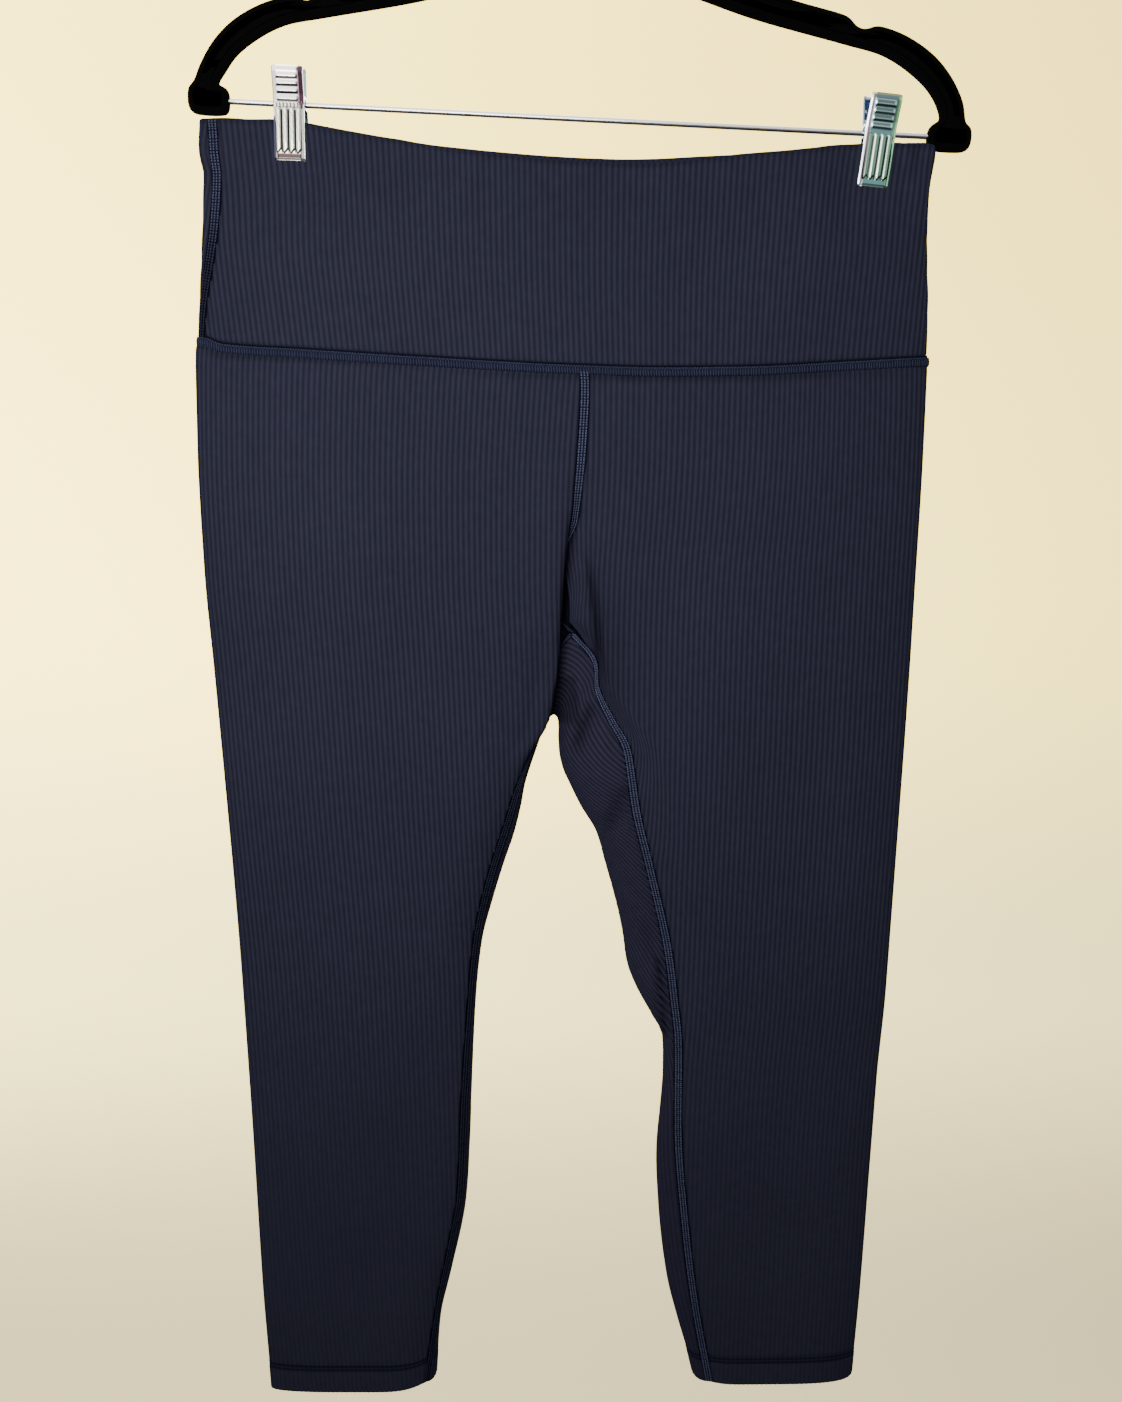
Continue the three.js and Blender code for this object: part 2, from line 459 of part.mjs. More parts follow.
for (let r = 0; r < LEVELS.length; r++) {
  const gRight = tipRow < r ? LEVELS.length - 1 - r : null;
  const gLeft = tipRow < r ? LEVELS.length - 1 - tipRow + (r - tipRow) : null;
  const gTip = LEVELS.length - 1 - tipRow;
  if (r < tipRow) {
    share([norm.right[r][0], norm.left[r][0]]);
    share([norm.right[r][last], norm.left[r][last]]);
  } else if (r === tipRow) {
    share([norm.right[r][0], norm.left[r][0], norm.gusset[gTip][0]]);
    share([norm.right[r][last], norm.left[r][last], norm.gusset[gTip][ACROSS - 1]]);
  } else {
    share([norm.right[r][0], norm.gusset[gRight][0]]);
    share([norm.left[r][0], norm.gusset[gLeft][0]]);
    share([norm.right[r][last], norm.gusset[gRight][ACROSS - 1]]);
    share([norm.left[r][last], norm.gusset[gLeft][ACROSS - 1]]);
  }
}
const legWall = (i) => mix(CLOTH, HEM_CLOTH, smooth(-652 + HEM_HEIGHT + 3, -652 + HEM_HEIGHT - 3, LEVELS[i].front));
const gussetWall = (i) => { const r = i <= LEVELS.length - 1 - tipRow ? LEVELS.length - 1 - i : i - (LEVELS.length - 1 - tipRow) + tipRow; return legWall(Math.max(r, 0)); };
const legTrim = { start: SEAM_GAP / 2, end: SEAM_GAP / 2, top: 0.35 };

// ---------------------------------------------------------------- waistband
// a point of the ring at height fraction t (0 waist seam, 1 top edge); w: 0 -X fold, 1 centre front, 2 +X fold, 3 centre back, 4 -X fold
function bandPoint(w, t) {
  const ww = ((w % 4) + 4) % 4;
  const side = ww < 1 || ww >= 3 ? 'right' : 'left';
  const fc = ww < 2 ? 'front' : 'back';
  const s = ww < 1 ? 1 - ww : ww < 2 ? ww - 1 : ww < 3 ? 3 - ww : ww - 3;
  let z = mix(70, 190, t);
  let x; let y;
  for (let k = 0; k < 4; k++) {
    [x, y] = layer(side, fc, z, s);
    z = mix(waistSeam[fc](x), waistTop[fc](x), t);
  }
  return [x, y, z];
}
// ring place of a point 'inset' from the -X fold on the front, and from the +X fold on the back
function placeFront(inset, t) {
  let lo = 0; let hi = 0.98;
  for (let k = 0; k < 26; k++) { const m = (lo + hi) / 2; const p = bandPoint(m, t); if (p[0] - foldX.right(p[2]) < inset) lo = m; else hi = m; }
  return (lo + hi) / 2;
}
function placeBack(inset, t) {
  let lo = 2; let hi = 2.98;
  for (let k = 0; k < 26; k++) { const m = (lo + hi) / 2; const p = bandPoint(m, t); if (foldX.left(p[2]) - p[0] < inset) lo = m; else hi = m; }
  return (lo + hi) / 2;
}
const BAND_ROWS = [0, 0.22, 0.44, 0.62, 0.78, 0.9, 1];
// columns of one layer: distances in from a side fold, then fixed x either side of each clip
const BAND_COLUMNS = { fold: [0.9, 3.5, 9], right: [-184, -174, -165, -155.4, -146, -136, -122, -95, -45], left: [60, 105, 138, 158, 168, 175, 182.6, 190, 197] };
function columnPlaces(t) { // ring places of one layer's columns, from the -X fold to the +X fold, shared by front and back
  const find = (test, lo, hi) => { for (let k = 0; k < 28; k++) { const m = (lo + hi) / 2; if (test(bandPoint(m, t))) lo = m; else hi = m; } return (lo + hi) / 2; };
  const out = [0];
  for (const d of BAND_COLUMNS.fold) out.push(find((p) => p[0] - foldX.right(p[2]) < d, 0, 1));
  for (const x of BAND_COLUMNS.right) out.push(find((p) => p[0] < x, 0, 1));
  out.push(1);
  for (const x of BAND_COLUMNS.left) out.push(find((p) => p[0] < x, 1, 2));
  for (const d of [...BAND_COLUMNS.fold].reverse()) out.push(find((p) => foldX.left(p[2]) - p[0] > d, 1, 2));
  out.push(2);
  return out;
}
const COLUMNS = columnPlaces(0.95);
function bandGrid(which) {
  return BAND_ROWS.map((t) => {
    const zMean = mix(72, 196, t);
    const a = placeFront(sideInset(zMean), t);
    const b = placeBack(SIDE_SEAM.leftBack, t);
    const wrapped = which === 'front' ? [0.35, 0.7, 1].map((f) => mix(2, b, f)) : [0.35, 0.7, 1].map((f) => 4 + a * f);
    // the columns slide a little so that the side seam never runs through one of them
    const inner = COLUMNS.slice(4, -1);
    const ws = which === 'front'
      ? [a, ...[0.4, 0.75].map((f) => mix(a, inner[0], f)), ...inner, 2, ...wrapped]
      : [b, ...[0.5].map((f) => mix(b, 4 - COLUMNS[COLUMNS.length - 5], f)), ...COLUMNS.slice(1, -4).reverse().map((w) => 4 - w), 4, ...wrapped];
    return ws.map((w) => bandPoint(w, t));
  });
}
const bandFront = bandGrid('front');
const bandBack = bandGrid('back');
const bandNormals = (g, want) => { const n = gridNormals(g); const j = 5; if (dot(n[2][j], want) < 0) for (const r of n) for (const v of r) { v[0] = -v[0]; v[1] = -v[1]; v[2] = -v[2]; } return n; };
const nFront = bandNormals(bandFront, [0, -1, 0]);
const nBack = bandNormals(bandBack, [0, 1, 0]);
BAND_ROWS.forEach((t, i) => {
  share([nFront[i][0], nBack[i][nBack[i].length - 1]]);
  share([nFront[i][nFront[i].length - 1], nBack[i][0]]);
});
const bandTrim = { start: SEAM_GAP / 2, end: SEAM_GAP / 2, top: 0.35 };

// ---------------------------------------------------------------- the hanger, in its own axes: origin at the bar's centre, x along the bar
const hanger = new THREE.Group();
hanger.name = 'hanger';
hanger.rotation.y = THREE.MathUtils.degToRad(HANGER_TILT);
{
  const a = THREE.MathUtils.degToRad(HANGER_TILT);
  hanger.position.set(-HANGER_RISE * Math.sin(a), 0, -HANGER_RISE * Math.cos(a));
}
const HALF_OUTLINE = [ // right half of the flat body, from the neck's top down the upper edge and back along the lower edge
  { x: 7.5, z: 112.0 }, { x: 8.5, z: 103.0 }, { x: 15.0, z: 96.0 }, { x: 30.0, z: 89.5 }, { x: 62.0, z: 79.2 },
  { x: 112.6, z: 66.0 }, { x: 143.5, z: 59.6 }, { x: 148.0, z: 58.0 }, { x: 151.0, z: 54.2 }, { x: 157.0, z: 52.8 },
  { x: 162.0, z: 54.8 }, { x: 172.0, z: 53.2 }, { x: 184.0, z: 48.8 }, { x: 197.5, z: 40.8 }, { x: 208.5, z: 30.0 },
  { x: 216.5, z: 17.0 }, { x: 219.5, z: 8.0 }, { x: 223.0, z: 6.5 }, { x: 223.5, z: -5.6 }, { x: 221.5, z: -7.2 },
  { x: 200.8, z: -7.2 }, { x: 199.0, z: -5.6 }, { x: 199.0, z: 5.5 }, { x: 200.5, z: 7.0 }, { x: 204.0, z: 8.5 },
  { x: 202.0, z: 15.0 }, { x: 195.8, z: 23.5 }, { x: 183.0, z: 33.2 }, { x: 168.0, z: 40.5 }, { x: 147.0, z: 45.0 },
  { x: 94.0, z: 55.6 }, { x: 64.0, z: 63.6 }, { x: 30.0, z: 73.0 }, { x: 12.0, z: 77.0 },
];
function hangerBody() {
  const pts = [...HALF_OUTLINE.map((p) => new THREE.Vector2(p.x, p.z)), ...[...HALF_OUTLINE].reverse().map((p) => new THREE.Vector2(-p.x, p.z))];
  const bevel = 2.2;
  const shape = new THREE.Shape(pts);
  const g = new THREE.ExtrudeGeometry(shape, { depth: HANGER_THICK - 2 * bevel, bevelEnabled: true, bevelThickness: bevel, bevelSize: 1.6, bevelOffset: -1.6, bevelSegments: 2, steps: 1 });
  g.translate(0, 0, -(HANGER_THICK - 2 * bevel) / 2);
  g.rotateX(Math.PI / 2);
  return g;
}
class HookCurve extends THREE.Curve { // wire centre line: up from the neck, out and over the rail
  getPoint(t, target = new THREE.Vector3()) {
    const R = HOOK_INNER + HOOK_RADIUS;
    const cz = HANGER_RISE - HOOK_INNER;
    const pts = HookCurve.pts ??= (() => {
      const list = [[0, 112.3], [0, 128], [0, 146], [0.6, 158], [5.5, 170], [14.5, 180.5]];
      for (let k = 0; k <= 12; k++) { const a = THREE.MathUtils.degToRad(-38 + k * 20.5); list.push([R * Math.cos(a), cz + R * Math.sin(a)]); }
      return new THREE.CatmullRomCurve3(list.map((p) => new THREE.Vector3(p[0], 0, p[1])), false, 'centripetal');
    })();
    return pts.getPoint(t, target);
  }
}
function roundShape(r, n) {
  const s = new THREE.Shape();
  for (let k = 0; k < n; k++) { const a = (k / n) * Math.PI * 2; if (k) s.lineTo(r * Math.cos(a), r * Math.sin(a)); else s.moveTo(r, 0); }
  s.closePath();
  return s;
}
function rod(x0, x1, r, n) {
  const g = new THREE.CylinderGeometry(r, r, x1 - x0, n, 1);
  g.rotateZ(Math.PI / 2);
  g.translate((x0 + x1) / 2, 0, 0);
  return g;
}
// solids for joining
function toSolid(g) {
  const c = g.index ? g.clone() : g.clone();
  for (const k of ['normal', 'uv']) c.deleteAttribute(k);
  const m = mergeVertices(c, 1e-4);
  return new wasm.Manifold(new wasm.Mesh({ numProp: 3, vertProperties: new Float32Array(m.attributes.position.array), triVerts: new Uint32Array(m.index.array) }));
}
function fromSolid(s) {
  const m = s.getMesh();
  const g = new THREE.BufferGeometry();
  g.setAttribute('position', new THREE.Float32BufferAttribute(Array.from(m.vertProperties), 3));
  g.setIndex(Array.from(m.triVerts));
  g.computeVertexNormals();
  return g;
}
const CLIP_TAB = { front: [{ y: 8.9, z: 17.3 }, { y: 8.5, z: 15.8 }], back: [{ y: 9.6, z: 20.3 }, { y: 9.2, z: 18.8 }] };
const CLIP_SIDE = [ // half of a clip seen from its side: the sheet's outer line from the finger tab down to the gripping lip
  { y: 5.7, z: 3.5 }, { y: 5.3, z: 0.0 }, { y: 5.2, z: -6.0 }, { y: 5.35, z: -21.0 }, { y: 4.95, z: -30.6 },
];
const BACK_PLATE_TWIST = -3.5;           // the rear plates hang a little askew of the front ones
const EAR_X = { front: 6.9, back: 8.2 };
const EAR_HOLE = 2.5;
function clipPlate(which) {
  const f = which === 'front' ? -1 : 1;
  const side = [...CLIP_TAB[which], ...CLIP_SIDE];
  const outer = side.map((p) => new THREE.Vector2(f * p.y, p.z));
  const inner = [...side].reverse().map((p) => new THREE.Vector2(f * (p.y - CLIP_SHEET), p.z));
  const plate = new THREE.ExtrudeGeometry(new THREE.Shape([...outer, ...inner]), { depth: CLIP_WIDTH, bevelEnabled: false });
  plate.translate(0, 0, -CLIP_WIDTH / 2);
  const turn = (g) => g.applyMatrix4(new THREE.Matrix4().set(0, 0, 1, 0, 1, 0, 0, 0, 0, 1, 0, 0, 0, 0, 0, 1));
  turn(plate);
  const ear = new THREE.Shape([new THREE.Vector2(f * 4.9, 3.6), new THREE.Vector2(f * 4.7, -3.6), new THREE.Vector2(-f * 1.0, -3.4), new THREE.Vector2(-f * 3.3, -1.2), new THREE.Vector2(-f * 3.3, 1.6), new THREE.Vector2(-f * 1.2, 3.4)]);
  const hole = new THREE.Path();
  for (let k = 0; k < 12; k++) { const a = f * (k / 12) * Math.PI * 2; const p = [EAR_HOLE * Math.cos(a), EAR_HOLE * Math.sin(a)]; if (k) hole.lineTo(...p); else hole.moveTo(...p); }
  hole.closePath();
  ear.holes.push(hole);
  let s = toSolid(plate);
  for (const d of [-1, 1]) {
    const e = new THREE.ExtrudeGeometry(ear, { depth: 0.9, bevelEnabled: false });
    e.translate(0, 0, d * EAR_X[which] - 0.45);
    turn(e);
    s = s.add(toSolid(e));
  }
  return fromSolid(s);
}
function springSleeve() {
  const p = [[1.9, -5.6], [3.4, -5.6], [3.4, 5.6], [1.9, 5.6], [1.9, -5.6]].map((q) => new THREE.Vector2(...q));
  const g = new THREE.LatheGeometry(p, 14);
  g.rotateZ(Math.PI / 2);
  return g;
}

// ---------------------------------------------------------------- finishes
const knit = new THREE.MeshStandardMaterial({ color: 0x26263a, roughness: 0.82, metalness: 0 });
const knitDeep = new THREE.MeshStandardMaterial({ color: 0x222235, roughness: 0.84, metalness: 0 });
const velvet = new THREE.MeshStandardMaterial({ color: 0x0a0a0b, roughness: 0.97, metalness: 0 });
const chrome = new THREE.MeshStandardMaterial({ color: 0xc9ccd2, roughness: 0.18, metalness: 1 });

const group = new THREE.Group();
group.name = 'leggings_on_hanger';
function place(parent, name, geometry, material) {
  const m = new THREE.Mesh(geometry, material.clone());
  m.name = name;
  parent.add(m);
  return m;
}
place(group, 'waistband_front', wallMesh(bandFront.slice().reverse(), nFront.slice().reverse(), () => BAND_CLOTH, { start: SEAM_GAP / 2, end: SEAM_GAP / 2, bottom: 0.35 }), knit);
place(group, 'waistband_back', wallMesh(bandBack.slice().reverse(), nBack.slice().reverse(), () => BAND_CLOTH, { start: SEAM_GAP / 2, end: SEAM_GAP / 2, bottom: 0.35 }), knit);
place(group, 'leg_right', wallMesh(legGrid.right, norm.right, legWall, legTrim), knit);
place(group, 'leg_left', wallMesh(legGrid.left, norm.left, legWall, legTrim), knit);
place(group, 'gusset', wallMesh(gussetGrid, norm.gusset, gussetWall, { start: SEAM_GAP / 2, end: SEAM_GAP / 2 }), knitDeep);

place(hanger, 'hanger_body', hangerBody(), velvet);
place(hanger, 'hanger_hook', new THREE.ExtrudeGeometry(roundShape(HOOK_RADIUS, 8), { steps: 38, bevelEnabled: false, extrudePath: new HookCurve() }), chrome);
place(hanger, 'trouser_bar', rod(-198.6, 198.6, BAR_RADIUS, 12), chrome);
for (const c of CLIP_SPOTS) {
  const clip = new THREE.Group();
  clip.position.set(c.along, 0, 0);
  clip.rotation.y = THREE.MathUtils.degToRad(c.lean);
  hanger.add(clip);
  place(clip, `${c.name}_front`, clipPlate('front'), chrome);
  place(clip, `${c.name}_back`, clipPlate('back'), chrome).rotation.y = THREE.MathUtils.degToRad(BACK_PLATE_TWIST);
  place(clip, `${c.name}_spring`, springSleeve(), chrome);
}
group.add(hanger);

export default group;
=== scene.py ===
# Cropped leggings on a clip hanger: the visual model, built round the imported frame.
# Lengths in the tables are millimetres in the leggings' own axes: heights over the datum, x from it, the front towards -y.
import bpy, math
import numpy as np
from mathutils.geometry import tessellate_polygon
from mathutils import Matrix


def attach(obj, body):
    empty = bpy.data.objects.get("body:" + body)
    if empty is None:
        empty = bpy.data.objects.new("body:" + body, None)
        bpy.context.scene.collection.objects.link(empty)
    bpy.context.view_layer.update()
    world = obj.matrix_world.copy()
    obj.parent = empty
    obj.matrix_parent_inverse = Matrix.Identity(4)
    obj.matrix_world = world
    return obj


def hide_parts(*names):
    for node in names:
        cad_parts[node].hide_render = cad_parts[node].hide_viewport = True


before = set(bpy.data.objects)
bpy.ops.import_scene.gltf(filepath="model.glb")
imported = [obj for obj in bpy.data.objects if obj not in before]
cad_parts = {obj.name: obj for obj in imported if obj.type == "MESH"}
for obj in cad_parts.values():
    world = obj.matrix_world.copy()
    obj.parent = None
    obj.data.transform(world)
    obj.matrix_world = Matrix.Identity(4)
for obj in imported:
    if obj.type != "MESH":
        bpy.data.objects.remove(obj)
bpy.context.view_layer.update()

DATUM = np.array([-22.0, 0.0, -434.0])   # the leggings' datum in the part's frame
PITCH = 3.3                              # one rib of the knit
STEP = PITCH / 4                         # columns of the mesh
RIB = 0.24                               # half height of a rib
CLOTH_BAND = 2.6                         # the waistband's two layers
HEM_HEIGHT = 20.0
TIP_FRONT, TIP_BACK = -90.0, -105.0      # the gusset's tips


# ---------------------------------------------------------------- camera, at the photograph's viewing angle
cam_data = bpy.data.cameras.new("photo_camera")
camera = bpy.data.objects.new("photo_camera", cam_data)
bpy.context.scene.collection.objects.link(camera)
camera.location = (-0.022, -0.6336, -0.434)
camera.rotation_euler = (math.radians(90.0 - 12.0), 0.0, 0.0)
cam_data.sensor_fit = "AUTO"
cam_data.sensor_width = 36.0
cam_data.lens = 36.0 * 1013.0 / 1402.0
cam_data.clip_start, cam_data.clip_end = 0.01, 50.0
bpy.context.scene.camera = camera


# ---------------------------------------------------------------- tables
def table(keys, text):
    rows = [[float(v) for v in line.split()] for line in text.strip().splitlines()]
    return {k: np.array([r[i] for r in rows]) for i, k in enumerate(keys.split())}


OUTER_FOLD = table("z right left yRight yLeft", """
204 -202.5 211 0 0
175 -205 213.5 0 0
135 -209 214.5 0 0
95 -213.5 217 0 0
45 -217.5 218 0 0
5 -220 219 0 0
-55 -220.5 219.5 0 0
-110 -219 220 0 0
-200 -217 220.3 0 1
-330 -215 220.5 -1 2
-400 -215 218.7 -1 2
-560 -215.5 218 -3 4
-652 -214 216.5 -5 6
""")
DEPTH = table("z front back", """
204 6 6
170 8.5 8.5
130 12.5 12
75 16 16.5
30 18.5 22
-20 19.5 26
-70 19.5 27
-120 19 25
-160 18.5 22.5
-210 17.5 20
-330 14.5 15.5
-450 12.8 13.2
-652 12 12
""")
FRONT_SEAM = table("z x y leanRight leanLeft", """
204 11 -6 0 0
130 11 -12.5 0 0
75 12.5 -16 0 0
45 14 -18 0 0
15 12 -17.5 8 8
-8 9.5 -15.5 35 14
-32 7 -12 75 26
-60 5.5 -8 94 34
-90 7 -4.5 98 42
""")
FRONT_INSEAM_LEFT = table("z x y lean", """
-90 7 -4.5 42
-103 18.5 -6.5 72
-113 21.5 -7.5 78
-124 23 -9.5 58
-143 31.5 -13.5 26
-162 41.5 -16 9
-181 44.7 -16.5 4
-200 47.5 -16.3 2
-244 58 -15.4 2
-302 71 -14 4
-338 75.9 -12.6 8
-367 79.3 -11.8 12
-437 81 -10.8 14
-510 87.7 -10.2 14
-586 97.5 -9.6 14
-652 108.8 -9.4 14
""")
FRONT_INSEAM_RIGHT = table("z x y lean", """
-90 7 -4.5 98
-97 1 -2.5 100
-113 -3.5 0 102
-124 -5.5 0 103
-143 -10.5 -1.5 96
-160 -17 -4.5 78
-178 -23.5 -7 56
-194 -29 -8.5 42
-210 -33.7 -9 38
-254 -47.3 -9 34
-297 -56.5 -7.5 36
-350 -61.7 -6.5 38
-414 -66.8 -6.5 36
-493 -71.8 -5.5 36
-525 -77.6 -5.5 36
-575 -87.4 -4.5 36
-652 -99.5 -2.5 36
""")
BACK_SEAM = table("z x y lean", """
204 9 6 0
75 8 16 0
20 7 21.5 6
-30 6 23 14
-70 5 22.5 20
-105 4 20 24
""")
BACK_INSEAM = table("z left right y lean", """
-105 4 4 20 24
-110 12 -4 20 22
-116 18 -13 20.2 18
-126 24 -26 20.6 12
-138 29 -39 20.4 8
-157 34 -55 19.6 5
-184 38.5 -72 18.6 3
-202 42 -78 17.9 2
-246 57 -84 16.8 2
-300 70 -89 15.4 2
-352 80 -91.5 13.9 3
-412 85.5 -89.5 12.6 4
-490 88 -90 11.7 5
-560 96 -103 11.2 5
-652 112 -117 10.8 5
""")
INNER_FOLD_LEFT = table("z x y keel", """
-90 -4.5 12 -146
-97 -2.6 12 -147.5
-103 -1.6 12 -150
-113 -1.4 12 -154.5
-124 -1.6 12 -160
-143 -1.2 12 -170
-162 1 12 -181
-181 6 11.5 -192.5
-200 12.5 11 -206
-222 23.5 10.5 -225
-246 29.5 10 -246.5
-270 36 9.5 -270
-296 41.8 9 -296
-318 45 8 -318
-336 52 6.5 -336
-354 62 4.5 -354
-372 70.2 2 -372
-396 70.8 1 -396
-460 67.5 1 -460
-500 69.5 1 -500
-560 76.5 1 -560
-600 85 1.5 -600
-630 92.5 2 -630
-652 97.5 2 -652
""")
INNER_FOLD_RIGHT = table("z x y keel", """
-90 -4.5 12 -146
-97 -6.6 12 -147
-103 -8.4 11.8 -149
-113 -10.6 11.2 -153.5
-124 -13 10.6 -159
-143 -16.4 9.6 -168.5
-162 -20.2 8.6 -179.5
-181 -23.8 7.6 -191.5
-200 -26.2 6.6 -204.5
-222 -30.8 5.6 -223.5
-246 -38.4 5 -246.3
-270 -45.6 4.6 -270
-300 -53.4 4.4 -300
-340 -58.2 4.4 -340
-400 -62 4.4 -400
-460 -65 4.6 -460
-500 -68.2 5 -500
-560 -80.2 6 -560
-600 -89 7 -600
-652 -93.5 8 -652
""")
LEVELS = table("front back", """
70 72
52 53
28 28
4 3
-18 -20
-40 -44
-60 -68
-76 -88
-90 -105
-97 -110
-103 -116
-113 -126
-124 -138
-135 -147
-148 -157
-162 -168
-180 -184
-200 -202
-222 -223
-246 -246
-270 -270
-296 -296
-322 -322
-348 -348
-374 -374
-410 -410
-450 -450
-490 -490
-530 -530
-570 -570
-605 -605
-632 -632
-652 -652
""")
WAIST_SEAM = table("x front back", """
-222 85 85
-208 82.5 83.5
-198 78.8 81.5
-152 75.4 78
-82 71 75.5
11 66.2 73.5
58 65 72.5
104 65.4 71.5
170 68.6 71.5
222 72 72
""")
WAIST_TOP = table("x front back", """
-206 200.5 200.5
-191 202 202
-163 201 201.2
-144 198.8 199.6
-97 191.5 194.2
-39 185 189.4
20 180.8 186.4
49 180.1 185.8
94 183 186.6
125 185.8 187.8
160 188.2 188.6
190 188.6 188.6
214 188 188
""")
HALF_OUTLINE = table("x z", """
7.5 112
8.5 103
15 96
30 89.5
62 79.2
112.6 66
143.5 59.6
148 58
151 54.2
157 52.8
162 54.8
172 53.2
184 48.8
197.5 40.8
208.5 30
216.5 17
219.5 8
223 6.5
223.5 -5.6
221.5 -7.2
200.8 -7.2
199 -5.6
199 5.5
200.5 7
204 8.5
202 15
195.8 23.5
183 33.2
168 40.5
147 45
94 55.6
64 63.6
30 73
12 77
""")
CLIP_SIDE = table("y z", """
5.7 3.5
5.3 0
5.2 -6
5.35 -21
4.95 -30.6
""")
CLIP_TOP = {"front": [(8.9, 17.3), (8.5, 15.8)], "back": [(9.6, 20.3), (9.2, 18.8)]}


HEM_LEVEL = {"right": -651.0, "left": -644.0}
PINCH = {"depth": 3.4, "half": 13.0, "soft": 26.0, "from": 122.0, "full": 174.0}
PINCH_SPOTS = (-155.4, 182.6)
CORNER = {"reach": 195.0, "full": 208.0, "from": 150.0, "top": 184.0, "forward": 8.5}
SIDE_INSET = table("z inset", """
70 2.6
90 3.4
120 6.5
140 8.5
160 9.0
180 8.6
204 6.5
""")
LEFT_BACK_INSET = 12.0
FOLD_POWER = 3.6
HANGER_TILT = math.radians(2.6156)
HANGER_RISE = 230.0
HOOK_INNER, HOOK_RADIUS, BAR_RADIUS = 22.0, 1.75, 1.5
CLIPS = {"clip_right": (-165.4, math.radians(-0.7)), "clip_left": (170.1, math.radians(3.3))}
BACK_TWIST = math.radians(-3.5)          # the rear plates hang a little askew


class Track:
    """Reads a column of a table by a smooth monotone curve."""

    def __init__(self, t, key, by="z"):
        x, y = t[by], t[key]
        if x[0] > x[-1]:
            x, y = x[::-1], y[::-1]
        d = np.diff(y) / np.diff(x)
        m = np.empty(len(x))
        m[0], m[-1] = d[0], d[-1]
        for i in range(1, len(x) - 1):
            if d[i - 1] * d[i] <= 0:
                m[i] = 0.0
            else:
                h0, h1 = x[i] - x[i - 1], x[i + 1] - x[i]
                m[i] = 3 * (h0 + h1) / ((2 * h1 + h0) / d[i - 1] + (h1 + 2 * h0) / d[i])
        self.x, self.y, self.m = x, y, m

    def __call__(self, q):
        x, y, m = self.x, self.y, self.m
        q = np.clip(np.asarray(q, float), x[0], x[-1])
        i = np.clip(np.searchsorted(x, q, side="right") - 1, 0, len(x) - 2)
        h = x[i + 1] - x[i]
        t = (q - x[i]) / h
        return (y[i] * (1 + 2 * t) * (1 - t) ** 2 + h * m[i] * t * (1 - t) ** 2
                + y[i + 1] * t * t * (3 - 2 * t) + h * m[i + 1] * t * t * (t - 1))


def smooth(a, b, v):
    t = np.clip((np.asarray(v, float) - a) / (b - a), 0.0, 1.0)
    return t * t * (3 - 2 * t)


def mix(a, b, t):
    return a + (b - a) * t


def bump(v, centre, width):
    """A soft round hill, 1 at its centre."""
    return np.exp(-((np.asarray(v, float) - centre) / width) ** 2)


fold_x = {"left": Track(OUTER_FOLD, "left"), "right": Track(OUTER_FOLD, "right")}
fold_y = {"left": Track(OUTER_FOLD, "yLeft"), "right": Track(OUTER_FOLD, "yRight")}
depth = {"front": Track(DEPTH, "front"), "back": Track(DEPTH, "back")}
seam_front = {k: Track(FRONT_SEAM, k) for k in ("x", "y", "leanLeft", "leanRight")}
inseam_front = {"left": {k: Track(FRONT_INSEAM_LEFT, k) for k in ("x", "y", "lean")},
                "right": {k: Track(FRONT_INSEAM_RIGHT, k) for k in ("x", "y", "lean")}}
seam_back = {k: Track(BACK_SEAM, k) for k in ("x", "y", "lean")}
inseam_back = {k: Track(BACK_INSEAM, k) for k in ("left", "right", "y", "lean")}
keel = {"left": {k: Track(INNER_FOLD_LEFT, k) for k in ("x", "y", "keel")},
        "right": {k: Track(INNER_FOLD_RIGHT, k) for k in ("x", "y", "keel")}}
waist_seam = {k: Track(WAIST_SEAM, k, "x") for k in ("front", "back")}
waist_top = {k: Track(WAIST_TOP, k, "x") for k in ("front", "back")}
side_inset = Track(SIDE_INSET, "inset")


# ---------------------------------------------------------------- the garment's section
def end_of(side, face, z):
    if face == "front":
        s, low = inseam_front[side], z < TIP_FRONT
        lean = seam_front["leanLeft" if side == "left" else "leanRight"]
        return (np.where(low, s["x"](z), seam_front["x"](z)), np.where(low, s["y"](z), seam_front["y"](z)),
                np.where(low, s["lean"](z), lean(z)))
    low = z < TIP_BACK
    return (np.where(low, inseam_back[side](z), seam_back["x"](z)), np.where(low, inseam_back["y"](z), seam_back["y"](z)),
            np.where(low, inseam_back["lean"](z), seam_back["lean"](z)))


